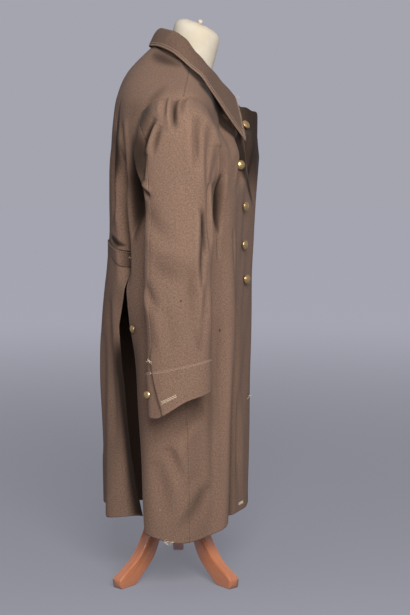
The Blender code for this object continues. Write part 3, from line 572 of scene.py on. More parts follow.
# Creases laid on one by one.
# columns: start angle, start height, end angle, end height, half width, depth, lean of the ridge beside it
BODY_CREASES = (
    (60.0, 0.920, 62.0, 0.800, 0.009, 0.012, 1.0),     # chest hollow
    (62.5, 0.826, 61.0, 0.735, 0.005, 0.006, -0.8),
    (69.0, 1.030, 63.0, 0.900, 0.010, 0.010, -0.8),    # beside the front of the armhole
    (116.0, 1.000, 117.5, 0.790, 0.014, 0.018, -0.6),  # hollow behind the sleeve
    (117.0, 0.846, 123.0, 0.782, 0.005, 0.007, 1.0),
    (135.0, 1.030, 126.0, 0.880, 0.012, 0.010, 0.9),
    (96.6, 0.330, 89.0, 0.255, 0.012, 0.008, 1.0),     # drags of the skirt
    (70.0, 0.240, 88.0, 0.145, 0.014, 0.007, -1.0),
    (103.0, 0.300, 97.0, 0.175, 0.016, 0.006, 0.8),
    (68.0, 0.660, 66.0, 0.150, 0.012, 0.005, -0.9),
    (58.0, 0.560, 60.5, 0.200, 0.014, 0.004, 0.8),
    (36.0, 0.640, 37.0, 0.360, 0.012, 0.005, -0.8),
    (12.0, 0.420, 6.0, 0.160, 0.016, 0.005, 0.7),
    (84.0, 0.440, 74.0, 0.370, 0.015, 0.008, 0.6),     # under the cuff
    (80.0, 0.400, 92.0, 0.345, 0.012, 0.006, 0.8),
    (44.0, 0.800, 40.0, 0.690, 0.008, 0.004, 0.8),
    (30.0, 0.960, 38.0, 0.880, 0.012, 0.006, -0.7),
    (40.0, 1.040, 52.0, 0.955, 0.014, 0.006, 0.7),
    (152.0, 0.640, 156.0, 0.330, 0.016, 0.008, 0.8),   # back skirt
    (166.0, 0.560, 170.0, 0.180, 0.018, 0.006, -0.8),
    (142.0, 0.480, 146.0, 0.200, 0.014, 0.005, 0.8),
    (182.0, 0.690, 184.0, 0.400, 0.014, 0.005, 0.7),
    (160.0, 1.000, 150.0, 0.800, 0.014, 0.010, 0.8),   # upper back
    (176.0, 0.980, 170.0, 0.795, 0.016, 0.008, -0.7),
    (196.0, 0.900, 190.0, 0.795, 0.013, 0.006, 0.8),
    (205.0, 0.560, 208.0, 0.250, 0.015, 0.008, -0.8),
    (232.0, 0.960, 238.0, 0.810, 0.013, 0.010, 0.7),   # left side, like the right
    (244.0, 0.980, 242.0, 0.790, 0.013, 0.016, 0.7),
    (252.0, 1.085, 247.0, 1.010, 0.020, 0.009, -0.5),
    (262.0, 0.330, 270.0, 0.262, 0.012, 0.008, -1.0),
    (288.0, 0.250, 274.0, 0.150, 0.014, 0.009, 1.0),
    (292.0, 0.640, 294.0, 0.160, 0.013, 0.005, 0.9),
    (300.0, 0.905, 297.0, 0.810, 0.009, 0.014, -1.0),
    (306.0, 0.560, 303.0, 0.220, 0.014, 0.005, -0.8),
    (318.0, 0.860, 314.0, 0.700, 0.012, 0.005, 0.8),
)
# Valley between the right front and its free edge; columns as for the folds
FRONT_VALLEY = ((-13.0, 4.0, 10.0, -0.018, 0.85, 1.022, 0.06),)
SLEEVE_CREASES = (
    (-7.5, 1.088, -5.0, 1.012, 0.0045, 0.013, 0.9),    # pinch under the sleeve head
    (1.5, 1.084, 3.0, 1.045, 0.0045, 0.006, -0.8),
    (-18.0, 1.082, -21.0, 1.040, 0.0050, 0.006, 0.8),
    (27.0, 1.045, 31.0, 0.930, 0.008, 0.008, 0.9),     # front of the upper arm
    (44.0, 1.030, 56.0, 0.890, 0.008, 0.006, 0.8),
    (50.0, 0.840, 55.0, 0.750, 0.007, 0.010, 0.9),
    (66.0, 0.900, 72.0, 0.760, 0.010, 0.007, -0.8),
    (-36.0, 1.040, -76.0, 0.945, 0.008, 0.013, 0.9),   # back of the upper arm
    (-26.0, 1.022, -44.0, 0.960, 0.006, 0.007, 0.8),
    (-60.0, 0.965, -80.0, 0.905, 0.008, 0.009, 0.8),
    (-90.0, 0.890, -58.0, 0.873, 0.007, 0.010, -0.9),  # elbow
    (-66.0, 0.845, -8.0, 0.770, 0.020, 0.005, 0.7),
    (-50.0, 0.740, 14.0, 0.700, 0.022, 0.004, -0.8),
    (-74.0, 0.690, -40.0, 0.640, 0.014, 0.006, 0.8),
    (24.0, 0.720, 34.0, 0.550, 0.012, 0.006, -0.9),
    (43.0, 0.850, 45.0, 0.680, 0.007, 0.008, 0.9),
    (58.0, 0.690, 46.0, 0.540, 0.012, 0.006, 0.8),
    (-20.0, 0.640, -12.0, 0.545, 0.014, 0.004, 0.8),
    (110.0, 0.900, 118.0, 0.740, 0.012, 0.006, 0.8),
    (150.0, 0.800, 160.0, 0.560, 0.014, 0.005, -0.8),
    (210.0, 0.820, 196.0, 0.600, 0.014, 0.005, 0.8),
)
SLEEVE_TUCK = ((82.0, 0.980, 80.0, 0.780, 0.030, 0.012, 0.0),)
# Soft shade of hollows that lie out of the light.
# columns: start angle, start height, end angle, end height, half width, strength
BODY_SHADES = (
    (119.0, 1.010, 119.0, 0.770, 0.017, 0.95),    # between the back and the sleeve
    (123.0, 0.830, 118.0, 0.770, 0.010, 0.50),
    (127.8, 0.990, 135.5, 0.745, 0.0060, 1.00),   # deep fold above the vent
    (139.0, 1.090, 149.0, 0.850, 0.0130, 1.00),   # second fold of the back
    (152.0, 0.860, 154.0, 0.790, 0.0070, 0.50),
    (61.0, 0.925, 61.0, 0.790, 0.0100, 1.00),     # chest hollow
    (88.0, 1.170, 62.0, 1.090, 0.0120, 1.10),     # under the collar's fall
    (76.0, 1.116, 34.0, 1.052, 0.0170, 1.40),
    (48.0, 1.072, 22.0, 0.990, 0.0160, 1.40),
    (112.0, 1.050, 118.0, 0.910, 0.0160, 0.75),   # behind the sleeve
    (142.0, 1.193, 86.0, 1.156, 0.0150, 0.72),
    (97.0, 1.112, 109.0, 1.055, 0.0150, 0.50),    # behind the sleeve head
    (22.0, 1.045, 9.0, 0.905, 0.0240, 1.25),      # valley beside the upper buttons
    (12.0, 0.950, -6.0, 0.850, 0.0130, 0.95),
    (-7.5, 1.060, -8.5, 0.860, 0.0050, 1.15),
    (0.0, 0.890, -9.0, 0.845, 0.0060, 0.60),
    (154.0, 0.787, 137.0, 0.763, 0.0080, 1.15),   # over the belt's loose end
)
SLEEVE_SHADES = (
    (-40.0, 1.082, -64.0, 0.990, 0.015, 0.75),    # back of the upper arm
    (-62.0, 1.030, -84.0, 0.890, 0.021, 0.92),
    (-6.8, 1.080, -5.5, 1.020, 0.0022, 0.95),     # pinch under the sleeve head
    (28.0, 1.025, 31.0, 0.945, 0.0045, 0.55),     # front of the arm
    (43.0, 0.850, 45.0, 0.680, 0.0055, 0.70),
)
# Slack of hung cloth. columns: height, waves per radian round the body, per metre upwards, start
SLACK_WAVES = (
    (0.0012, 7.0, 9.0, 0.4),
    (0.0010, 11.0, -5.0, 2.0),
    (0.0007, 17.0, 23.0, 1.1),
)
# Moth holes and one pale speck: place, radius, tone against the cloth
MARKS = (
    ((-0.1522, -0.0980, 0.5797), 0.0045, 0.25),
    ((-0.1400, -0.1110, 0.6722), 0.0026, 0.25),
    ((-0.3000, -0.0157, 0.6572), 0.0036, 0.20),
    ((-0.2960, 0.0215, 0.7713), 0.0024, 0.40),
    ((-0.2960, 0.0120, 0.8400), 0.0020, 0.40),
    ((0.0975, 0.1802, 0.4189), 0.0050, 0.25),
    ((-0.2150, 0.0323, 0.1936), 0.0030, 2.6),
)


def about_segment(segment, half, angle, height, scale):
    """Share of the way along a segment, and half widths aside of it and past its ends."""
    start, low, end, high = segment
    across = np.radians(half_turn(angle - start)) * scale
    run = np.array([np.radians(end - start) * scale, high - low])
    length = np.hypot(*run)
    along = (across * run[0] + (height - low) * run[1]) / length**2
    side = (across * run[1] - (height - low) * run[0]) / length / half
    past = np.clip(np.abs(along - 0.5) - 0.5, 0.0, None) * length / half
    return along, side, past


def soft_shade(shades, angle, height, scale):
    """Strongest of some shades, each a gaussian round a segment."""
    total = np.zeros(np.shape(height))
    for *segment, half, strength in shades:
        along, side, past = about_segment(segment, half, angle, height, scale)
        swell = 0.25 + 0.75 * np.sin(np.pi * np.clip(along, 0.0, 1.0)) ** 0.5
        total = np.maximum(total, strength * swell * np.exp(-((side / swell) ** 2) - past**2))
    return total


def crease_relief(creases, angle, height, scale):
    """Sum of creases: each a gaussian valley along a segment, with a lower ridge on its leaning side."""
    total = np.zeros(np.shape(height))
    for *segment, half, depth, lean in creases:
        along, side, past = about_segment(segment, half, angle, height, scale)
        swell = np.sin(np.pi * np.clip(along, 0.0, 1.0) ** 0.8) ** 0.6
        shape = 0.6 * abs(lean) * np.exp(-((side - 1.7 * np.sign(lean)) ** 2)) - np.exp(-(side**2))
        total = total + depth * shape * (0.15 + 0.85 * swell) * np.exp(-(past**2))
    return total


def plan_angle(point):
    """Plan angle of points."""
    return np.degrees(np.arctan2(-point[..., 0], AXIS_Y - point[..., 1]))


def slow_waves(angle, height):
    """Slack of hung cloth: three slow sines across and down the piece."""
    turn = np.radians(angle)
    return sum(size * np.sin(around * turn + up * height + start) for size, around, up, start in SLACK_WAVES)


def armhole_quiet(angle, row):
    """0 at an armhole's edge, where the sleeve holds the cloth, and 1 a little away from it."""
    beyond = np.clip(np.abs(row - ARMHOLE_MIDDLE) - ARMHOLE_HALF, 0.0, None) * 60.0
    aside = np.abs(np.abs(half_turn(angle)) - 90.0) - armhole_reach(row)
    return ramp(np.hypot(np.clip(aside, 0.0, None), beyond), 5.0, 8.0)


def body_relief(across, row, point):
    """Creases and slack of the body panels."""
    angle = plan_angle(point)
    height = point[..., 2]
    lower = 1 - ramp(height, 1.04, 0.08)
    relief = crease_relief(BODY_CREASES, angle, height, BODY_GIRTH) + slow_waves(angle, height) * lower
    return relief * armhole_quiet(angle, row)


def front_relief(across, row, point):
    """Creases of the fronts, with the valley before the right one's free edge."""
    return body_relief(across, row, point) + fold_depth(FRONT_VALLEY, plan_angle(point), point[..., 2])


def sleeve_relief(side, creases=SLEEVE_CREASES + SLEEVE_TUCK):
    """Creases and slack of a sleeve; the left one leans the other way and lies a little lower."""
    def relief(across, row, point):
        turn = side * across
        height = point[..., 2] + (0.0 if side > 0 else 0.012)
        slack = 0.0011 * np.sin(np.radians(turn) * 3 + 26.0 * height) + 0.0008 * np.sin(41.0 * height + 1.0)
        quiet = ramp(row, 0.0, 0.35) * (1 - 0.7 * ramp(row, 6.0, 0.5))
        return (crease_relief(creases, turn, height, SLEEVE_GIRTH) + slack) * quiet
    return relief


def collar_relief(station, width, point):
    """Slight waves along the fall's outer edge."""
    return 0.0010 * np.sin(2.7 * station + 0.6) * width + 0.0006 * np.sin(6.1 * station + 3.0 * width)


def shading_of(surface, relief, deepest, shade):
    """Painted shading of a creased surface, from its hollows' depth and its painted shades, up to 1; ridges
    are below 0 and are painted lighter.
    """
    def depth(across, along):
        point = surface(across, along)
        sunk = -relief(across, along, point) / deepest
        dark = shade(across, along, point)
        return np.clip(np.where(dark > 0.03, np.maximum(sunk, dark), sunk), -1.0, 1.0)
    return depth


def body_shade(across, row, point):
    """Shade of the body's hollows."""
    return soft_shade(BODY_SHADES, plan_angle(point), point[..., 2], BODY_GIRTH)


def front_shade(across, row, point):
    """Shade of the right front, whose free edge is turned from the light."""
    angle = plan_angle(point)
    turned = 0.76 * ramp(-angle, -18.0, 18.0) + 0.14 * ramp(-angle, 3.0, 6.0)
    turned = turned * ramp(point[..., 2], 0.78, 0.20)
    return np.maximum(body_shade(across, row, point), turned)


def vent_shade(across, row, point):
    """Shade of the left back, which also turns into the vent's dark."""
    edge = 1.1 * np.exp(-((across / 0.060) ** 2)) * (1 - ramp(row, 2.3, 0.7))
    return np.maximum(body_shade(across, row, point), edge)


def body_depth(across, row, point):
    """Relief of a body panel with the folds of its solid, apart from the fullness of the front."""
    return body_relief(across, row, point) + fold_depth(FOLDS[1:], plan_angle(point), point[..., 2])


def creased(surface, relief):
    """The surface moved along its normals by a relief."""
    def moved(across, along):
        point = surface(across, along)
        return point + surface_normals(surface, across, along) * relief(across, along, point)[..., None]
    return moved


def hung(surface, relief):
    """The surface moved away from the pole by a relief."""
    def moved(across, along):
        point = surface(across, along)
        return point + outwards(plan_angle(point)) * relief(across, along, point)[..., None]
    return moved


def arc_lengths(grid, axis):
    """Length along a grid's lines, starting at zero."""
    step = np.linalg.norm(np.diff(grid, axis=axis), axis=-1)
    pad = [(0, 0), (0, 0)]
    pad[axis] = (1, 0)
    return np.pad(np.cumsum(step, axis=axis), pad)


def fill_mesh(name, points, quads, uv=None, values=None):
    """Mesh from arrays of points and quads, with a UV map in metres and named point values."""
    mesh = bpy.data.meshes.new(name)
    mesh.vertices.add(len(points))
    mesh.vertices.foreach_set("co", np.ascontiguousarray(points, np.float32).ravel())
    mesh.loops.add(quads.size)
    mesh.loops.foreach_set("vertex_index", np.ascontiguousarray(quads, np.int32).ravel())
    mesh.polygons.add(len(quads))
    mesh.polygons.foreach_set("loop_start", np.arange(0, quads.size, 4, dtype=np.int32))
    mesh.polygons.foreach_set("use_smooth", np.ones(len(quads), bool))
    mesh.update(calc_edges=True)
    if uv is not None:
        layer = mesh.uv_layers.new(name="cloth")
        layer.data.foreach_set("uv", np.ascontiguousarray(uv[quads.ravel()], np.float32).ravel())
    for key, value in (values or {}).items():
        attribute = mesh.attributes.new(key, "FLOAT", "POINT")
        attribute.data.foreach_set("value", np.ascontiguousarray(value, np.float32))
    mesh.validate()
    return mesh


def add_piece(mesh, material, slot, *nodes):
    """Link a piece named like its mesh, let it ride on the part and stand for its nodes."""
    piece = bpy.data.objects.new(mesh.name, mesh)
    mesh.materials.append(material)
    bpy.context.scene.collection.objects.link(piece)
    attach(piece, BODY)
    if nodes:
        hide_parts(*nodes)
    return piece


def rim_quads(rows, columns):
    """Quads that close the edge between an outer and an inner grid."""
    index = np.arange(rows * columns).reshape(rows, columns)
    rim = np.concatenate([index[0], index[1:, -1], index[-1, -2::-1], index[-2:0:-1, 0]])
    after = np.roll(rim, -1)
    return np.stack([rim, after, after + index.size, rim + index.size], -1)


def cloth_mesh(name, surface, across, along, wall, lift=0.0, free=(1, 1, 1, 1), hollow=None):
    """Thin shell: a grid on the surface and a second one a wall further in, with rims between them.

    Free edges, named in the order first across, last across, first along, last along, are rounded and worn;
    the others are sewn.
    """
    across, along = np.meshgrid(across, along)
    outer = surface(across, along)
    normal = unit(np.cross(np.gradient(outer, axis=0), np.gradient(outer, axis=1)))
    outer = outer + normal * lift
    u = arc_lengths(outer, 1)
    v = arc_lengths(outer, 0)
    edges = np.stack([u, u[:, -1:] - u, v, v[-1:] - v])
    share = np.where(np.array(free) > 0, FREE_ROUND, SEWN_ROUND)[:, None, None]
    soft = (wall * share * np.exp(-((edges / ROUND_REACH) ** 2))).max(0)[..., None]
    inner = outer - normal * (wall - soft)
    outer = outer - normal * soft
    rows, columns = u.shape
    quads = np.concatenate([
        grid_faces(rows, columns),
        grid_faces(rows, columns, u.size)[:, ::-1],
        rim_quads(rows, columns),
    ])
    uv = np.stack([u - u.mean(1, keepdims=True), v], -1).reshape(-1, 2)
    worn = np.array(free)[:, None, None] * np.exp(-((edges / WORN_REACH) ** 2))
    # Painted shading: above 0 the wool is darkened in hollows and shaded places; ridges, below 0, are painted
    # lighter together with the worn free edges.
    depth = np.zeros(u.size) if hollow is None else hollow(across, along).ravel()
    # Real wear of the free edges, and a painted highlight on ridges, which lie below 0 in the shading.
    wear = np.maximum(worn.max(0).ravel(), np.clip(-1.6 * depth, 0.0, 1.0))
    points = np.concatenate([outer, inner]).reshape(-1, 3)
    values = {"hollow": np.tile(depth, 2), "wear": np.tile(wear, 2), "inside": np.repeat([0.0, 1.0], u.size)}
    return fill_mesh(name, points, quads, np.concatenate([uv, uv]), values)


def cut_rows(count):
    """Section rows at even steps down the body and over the shoulder, closer at the armhole's ends."""
    levels = np.linspace(SECTIONS[0, LEVEL], SECTIONS[ROW_CHEST, LEVEL], int(count * 0.76))
    body = row_of_level(levels)
    shoulder = np.linspace(ROW_CHEST, ROW_NECK, count - len(levels) + 1)[1:]
    close = 0.0006 * np.arange(13) ** 2
    return np.unique(np.concatenate([body, shoulder, ARMHOLE_BOTTOM + close, ROW_TIP - close]))


def along_line(surface, across, along, lift=0.0):
    """Points and normals of a surface along a line of parameters."""
    across, along = np.broadcast_arrays(np.asarray(across, float), np.asarray(along, float))
    normal = surface_normals(surface, across, along)
    return surface(across, along) + normal * lift, normal


def even_steps(points, normals, pitch):
    """A line's points, tangents and normals at even steps of length."""
    length = np.concatenate([[0.0], np.cumsum(np.linalg.norm(np.diff(points, axis=0), axis=1))])
    at = np.arange(pitch / 2, length[-1], pitch)

    def read(vectors, places):
        return np.stack([np.interp(places, length, vectors[:, k]) for k in range(3)], -1)

    run = read(points, at + pitch / 4) - read(points, at - pitch / 4)
    return read(points, at), unit(run), unit(read(normals, at))


def stitch_arrays(spots, runs, normals, length, width, height):
    """Stitches: half spindles, five rings of four points, set at spots along their runs."""
    x = np.array([-0.5, -0.36, 0.0, 0.36, 0.5])
    fat = np.array([0.12, 0.75, 1.0, 0.75, 0.12])
    turn = np.radians([0.0, 60.0, 120.0, 180.0])
    local = np.stack([
        np.repeat(x, 4) * length,
        np.outer(fat, np.cos(turn)).ravel() * width / 2,
        np.outer(fat, np.sin(turn)).ravel() * height,
    ], -1)
    sides = np.cross(normals, runs)
    basis = np.stack([runs, unit(sides), normals], 1)
    points = spots[:, None, :] + np.einsum("vk,mkc->mvc", local, basis)
    quads = grid_faces(5, 4)[:, ::-1]
    quads = quads[None] + 20 * np.arange(len(spots))[:, None, None]
    return points.reshape(-1, 3), quads.reshape(-1, 4)


def join_arrays(parts):
    """Several arrays of points and quads as one."""
    points, quads, first = [], [], 0
    for some_points, some_quads in parts:
        points.append(some_points)
        quads.append(some_quads + first)
        first += len(some_points)
    return np.concatenate(points), np.concatenate(quads)


def seam_stitches(surface, across, along, pitch, lift=0.0):
    """A row of stitches along a line of parameters of a surface."""
    points, normals = along_line(surface, across, along, lift)
    spot, run, normal = even_steps(points, normals, pitch)
    return stitch_arrays(spot, run, normal, pitch * 0.80, 0.0013, 0.0008)


def buttonhole(surface, across, along, lift, ragged):
    """Worked hole: two close, uneven rows of stitches that stand across a short line."""
    points, normals = along_line(surface, across, along, lift)
    spot, run, normal = even_steps(points, normals, 0.0012)
    side = unit(np.cross(normal, run))
    step = np.arange(len(spot))
    rows = []
    for way in (-1.0, 1.0):
        uneven = 1 + ragged * np.sin(2.1 * step + way) * np.sin(0.7 * step + 2.0 * way)
        centre = spot + side * (way * 0.0017 * uneven)[:, None]
        tilt = unit(side * way + run * (0.35 * ragged * np.sin(1.7 * step + way))[:, None])
        rows.append(stitch_arrays(centre, tilt, normal, 0.0019, 0.0009, 0.0007))
    return rows


def tube_arrays(path, radius):
    """Thread: a five-sided tube along a path, thinner at its ends."""
    count = len(path)
    tangent = unit(np.gradient(path, axis=0))
    helper = np.where(np.abs(tangent[:, 2:]) < 0.9, UP, [1.0, 0.0, 0.0])
    side = unit(np.cross(tangent, helper))
    up = np.cross(side, tangent)
    turn = np.linspace(0, 2 * np.pi, 6)
    thin = radius * (0.35 + 0.65 * np.sin(np.linspace(0.08, np.pi - 0.08, count)))[:, None, None]
    ring = np.cos(turn)[None, :, None] * side[:, None] + np.sin(turn)[None, :, None] * up[:, None]
    points = path[:, None] + thin * ring
    return points.reshape(-1, 3), grid_faces(count, 6)[:, ::-1]


def curl(start, direction, length, sway, count=14):
    """Path of a loose thread end: a line that sways to the side and drops."""
    t = np.linspace(0.0, 1.0, count)[:, None]
    direction = unit(np.asarray(direction, float))
    side = unit(np.cross(direction, [0.31, 0.22, 0.92]))
    drop = 0.25 * UP * length * t**2
    return start + direction * length * t + side * sway * length * np.sin(4.2 * t) - drop


def ring_quads(rings, steps):
    """Quads between closed rings of points, ring by ring."""
    first = np.arange(rings - 1)[:, None] * steps
    here = (first + np.arange(steps)).ravel()
    there = (first + (np.arange(steps) + 1) % steps).ravel()
    return np.stack([here, here + steps, there + steps, there], -1)


def closing_ring(ring):
    """A ring drawn together to its middle, which closes an end."""
    middle = ring.mean(-2, keepdims=True)
    return middle + (ring - middle) * CAP


def turned_arrays(profile, steps):
    """Turned shape: a profile of radius and height carried round the Z axis."""
    profile = np.asarray(profile, float)
    turn = np.linspace(0, 2 * np.pi, steps, endpoint=False)
    radius = np.maximum(profile[:, 0], 1e-5)
    points = np.stack([
        np.outer(radius, np.cos(turn)),
        np.outer(radius, np.sin(turn)),
        np.repeat(profile[:, 1:], steps, 1),
    ], -1)
    return points.reshape(-1, 3), ring_quads(len(profile), steps)


def placed(points, matrix):
    """Points moved by a matrix."""
    matrix = np.array(matrix)
    return points @ matrix[:3, :3].T + matrix[:3, 3]


class Sock:
    """A shader socket with arithmetic; every operation adds a Math node."""

    def __init__(self, finish, socket):
        self.finish = finish
        self.socket = socket

    def math(self, operation, *others):
        """A Math node on this socket and other values."""
        inputs = {k: value for k, value in enumerate((self, *others))}
        return self.finish.node("ShaderNodeMath", {"operation": operation}, inputs)

    def __add__(self, other):
        return self.math("ADD", other)

    __radd__ = __add__

    def __sub__(self, other):
        return self.math("SUBTRACT", other)

    def __rsub__(self, other):
        return (self * -1.0).math("ADD", other)

    def __mul__(self, other):
        return self.math("MULTIPLY", other)

    __rmul__ = __mul__


class Finish:
    """A material in the making: its nodes, and the shader they feed."""

    def __init__(self, name, **constants):
        self.material = bpy.data.materials.new(name)
        self.material.use_nodes = True
        self.tree = self.material.node_tree
        self.shader = self.tree.nodes["Principled BSDF"]
        for key, value in constants.items():
            self.shader.inputs[key.replace("_", " ")].default_value = value

    def node(self, kind, settings=None, inputs=None, output=0):
        """Any node: its settings first, then the values or links of its sockets."""
        made = self.tree.nodes.new(kind)
        for key, value in (settings or {}).items():
            setattr(made, key, value)
        for key, value in (inputs or {}).items():
            if isinstance(value, Sock):
                self.tree.links.new(value.socket, made.inputs[key])
            else:
                made.inputs[key].default_value = value
        return Sock(self, made.outputs[output])

    def place(self):
        """Place of a point in its piece."""
        return self.node("ShaderNodeTexCoord", {}, {}, 3)

    def cloth(self):
        """Place of a point on the flat cloth."""
        return self.node("ShaderNodeUVMap", {"uv_map": "cloth"})

    def value(self, name):
        """A named value of the piece's points."""
        return self.node("ShaderNodeAttribute", {"attribute_name": name}, {}, 2)

    def noise(self, vector, scale, detail=3.0, rough=0.55):
        """Noise from 0 to 1 on a vector."""
        inputs = {"Vector": vector, "Scale": scale, "Detail": detail, "Roughness": rough}
        return self.node("ShaderNodeTexNoise", {}, inputs)

    def span(self, value, low, high, out_low=0.0, out_high=1.0):
        """A value's part between low and high, stretched smoothly to a new range."""
        inputs = {"Value": value, "From Min": low, "From Max": high, "To Min": out_low, "To Max": out_high}
        return self.node("ShaderNodeMapRange", {"interpolation_type": "SMOOTHSTEP"}, inputs)

    def mix(self, factor, first, second):
        """Mix of two colours, each a socket or three numbers."""
        first, second = ((*c, 1.0) if isinstance(c, tuple) else c for c in (first, second))
        return self.node("ShaderNodeMix", {"data_type": "RGBA"}, {0: factor, 6: first, 7: second}, 2)

    def stretch(self, vector, x, y, z):
        """A vector scaled along each axis."""
        return self.node("ShaderNodeVectorMath", {"operation": "MULTIPLY"}, {0: vector, 1: (x, y, z)})

    def feed(self, key, value):
        """Join a value to the shader."""
        self.tree.links.new(value.socket, self.shader.inputs[key])

    def bump(self, height, distance, strength=1.0):
        """Join a height to the shader's normal."""
        inputs = {"Height": height, "Distance": distance, "Strength": strength}
        self.feed("Normal", self.node("ShaderNodeBump", {}, inputs))


def toned(colour, *shares):
    """A colour scaled by one share, or by a share for each channel."""
    return tuple(float(share * c) for share, c in zip(np.broadcast_to(shares, 3), colour))


def wool_finish(name, colour, worn):
    """Milled wool: slubs both ways, paler fibres, worn edges, a few moth marks, and painted shading: hollows,
    shaded places and inside faces darker, ridges lighter.
    """
    finish = Finish(name, Roughness=0.94, Specular_IOR_Level=0.10, Sheen_Weight=0.02, Sheen_Roughness=0.55)
    cloth = finish.cloth()
    place = finish.place()
    weft = finish.noise(finish.stretch(cloth, 210.0, 560.0, 1.0), 1.0, 2.0)
    warp = finish.noise(finish.stretch(cloth, 620.0, 230.0, 1.0), 1.0, 2.0)
    fibre = finish.noise(place, 900.0, 2.0, 0.7)
    fade = finish.noise(place, 7.0, 4.0)
    blotch = finish.noise(place, 31.0, 3.0)
    grain = weft * 0.55 + warp * 0.45
    base = finish.mix(finish.span(grain, 0.33, 0.67), toned(colour, 0.70), toned(colour, 1.34, 1.36, 1.40))
    layers = (
        (finish.span(fibre, 0.64, 0.80, 0.0, 0.40), 2.1),
        (finish.span(fade, 0.35, 0.75, 0.0, 0.30), 0.78),
        (finish.span(blotch, 0.55, 0.80, 0.0, 0.22), 1.35),
        # painted shade: hollows, creases and shaded places darkened
        (finish.span(finish.value("hollow"), 0.10, 1.0, 0.0, 0.94), 0.08),
        # real wear of free edges, with ridges painted lighter as a highlight
        (finish.value("wear") * worn, 1.9),
        # painted shade: the inside faces darkened
        (finish.value("inside") * 0.9, 0.25),
    )
    for share, tone in layers:
        base = finish.mix(share, base, toned(colour, tone))
    for spot, radius, tone in MARKS:
        away = finish.node("ShaderNodeVectorMath", {"operation": "DISTANCE"}, {0: place, 1: spot}, 1)
        ragged = away + (fibre - 0.5) * (0.8 * radius)
        share = finish.span(ragged, radius * 0.4, radius, 0.85, 0.0)
        base = finish.mix(share, base, toned(colour, tone))
    finish.feed("Base Color", base)
    finish.bump(grain + fibre * 0.5, 0.0011, 0.55)
    return finish.material


def thread_finish(name, colour):
    """Twisted thread: fine noise in its colour."""
    finish = Finish(name, Roughness=0.85, Specular_IOR_Level=0.2)
    twist = finish.noise(finish.place(), 1300.0, 2.0)
    finish.feed("Base Color", finish.mix(finish.span(twist, 0.3, 0.7), toned(colour, 0.6), colour))
    finish.bump(twist, 0.0003, 0.5)
    return finish.material


def brass_finish(name, colour):
    """Worn brass: brighter on the dome, brown in the rim, with fine scratches in its gloss."""
    finish = Finish(name, Metallic=0.92)
    place = finish.place()
    tarnish = finish.noise(place, 210.0, 4.0, 0.65)
    fine = finish.noise(place, 1500.0, 2.0)
    brown = toned(colour, 0.34, 0.30, 0.28)
    base = finish.mix(finish.span(tarnish, 0.42, 0.72, 0.0, 0.65), colour, brown)
    finish.feed("Base Color", finish.mix(finish.value("rim") * 0.75, base, brown))
    finish.feed("Roughness", finish.span(tarnish, 0.3, 0.8, 0.18, 0.34) + fine * 0.05)
    finish.bump(tarnish + fine * 0.3, 0.0003, 0.4)
    return finish.material


def cream_finish(name, colour):
    """Plain cotton over padding: a fine weave, soft yellow stains."""
    finish = Finish(name, Roughness=0.88, Specular_IOR_Level=0.2)
    place = finish.place()
    stain = finish.noise(place, 13.0, 4.0, 0.6)
    weave = finish.noise(finish.stretch(place, 700.0, 700.0, 1500.0), 1.0, 1.0)
    yellow = toned(colour, 0.90, 0.85, 0.74)
    base = finish.mix(finish.span(stain, 0.42, 0.72, 0.0, 0.75), colour, yellow)
    finish.feed("Base Color", finish.mix(finish.span(weave, 0.3, 0.7, 0.0, 0.12), base, (0.35, 0.28, 0.18)))
    finish.bump(weave + stain, 0.0008, 0.4)
    return finish.material


def wood_finish(name, colour):
    """Varnished wood: grain drawn out along the piece's own length, under a clear coat."""
    finish = Finish(name, Coat_Weight=1.0, Coat_Roughness=0.06, Coat_IOR=1.7, Specular_IOR_Level=0.5)
    run = finish.cloth()
    grain = finish.noise(finish.stretch(run, 6.0, 190.0, 1.0), 1.0, 4.0, 0.6)
    pores = finish.noise(finish.stretch(run, 40.0, 1200.0, 1.0), 1.0, 2.0)
    dark = toned(colour, 0.78, 0.70, 0.64)
    base = finish.mix(finish.span(grain, 0.35, 0.7), colour, dark)
    finish.feed("Base Color", finish.mix(finish.span(pores, 0.62, 0.8, 0.0, 0.35), base, toned(dark, 0.5)))
    finish.feed("Roughness", finish.span(grain, 0.3, 0.8, 0.26, 0.40))
    finish.bump(grain + pores * 0.4, 0.0004, 0.25)
    return finish.material


def finish_of(name, make, *values):
    """A finish by name, made when it is first asked for."""
    return bpy.data.materials.get(name) or make(name, *values)


def coat_wool():
    """The coat's wool."""
    return finish_of("milled_wool", wool_finish, tuple(bpy.context.scene.greatcoat_cloth.wool), 0.22)


def collar_wool():
    """The collar's wool, darker from wear."""
    return finish_of("collar_wool", wool_finish, toned(bpy.context.scene.greatcoat_cloth.wool, 0.72), 0.55)


def colour_setting(name, described, default):
    """A colour among the settings."""
    return FloatVectorProperty(name=name, description=described, subtype="COLOR", size=3, default=default,
                               min=0.0, max=1.0)


def power_setting(name, described, default):
    """A light's power among the settings."""
    return FloatProperty(name=name, description=described, default=default, min=0.0, unit="POWER")


class GreatcoatCloth(bpy.types.PropertyGroup):
    """Cloth and sewing of the coat."""

    wool: colour_setting("Wool", "Colour of the milled wool", (0.138, 0.083, 0.056))
    brown_thread: colour_setting("Brown thread", "Colour of the topstitching", (0.30, 0.215, 0.150))
    pale_thread: colour_setting("Pale thread", "Colour of worn and worked thread", (0.66, 0.55, 0.39))
    rows: IntProperty(name="Rows", description="Rows of a body panel's grid", default=250, min=60, max=400)
    columns: IntProperty(name="Columns", description="Columns of the widest panel's grid", default=150,
                         min=30, max=200)
    stitch: FloatProperty(name="Stitch", description="Length of one topstitch", default=0.0044,
                          min=0.002, max=0.01, unit="LENGTH")


class GreatcoatTrim(bpy.types.PropertyGroup):
    """Buttons, form and stand."""

    brass: colour_setting("Brass", "Colour of the worn brass", (0.62, 0.42, 0.19))
    cream: colour_setting("Cotton", "Colour of the form's cover", (0.45, 0.405, 0.33))
    wood: colour_setting("Wood", "Colour of the varnished wood", (0.42, 0.140, 0.050))
    steps: IntProperty(name="Steps", description="Steps of turned pieces", default=40, min=12, max=96)


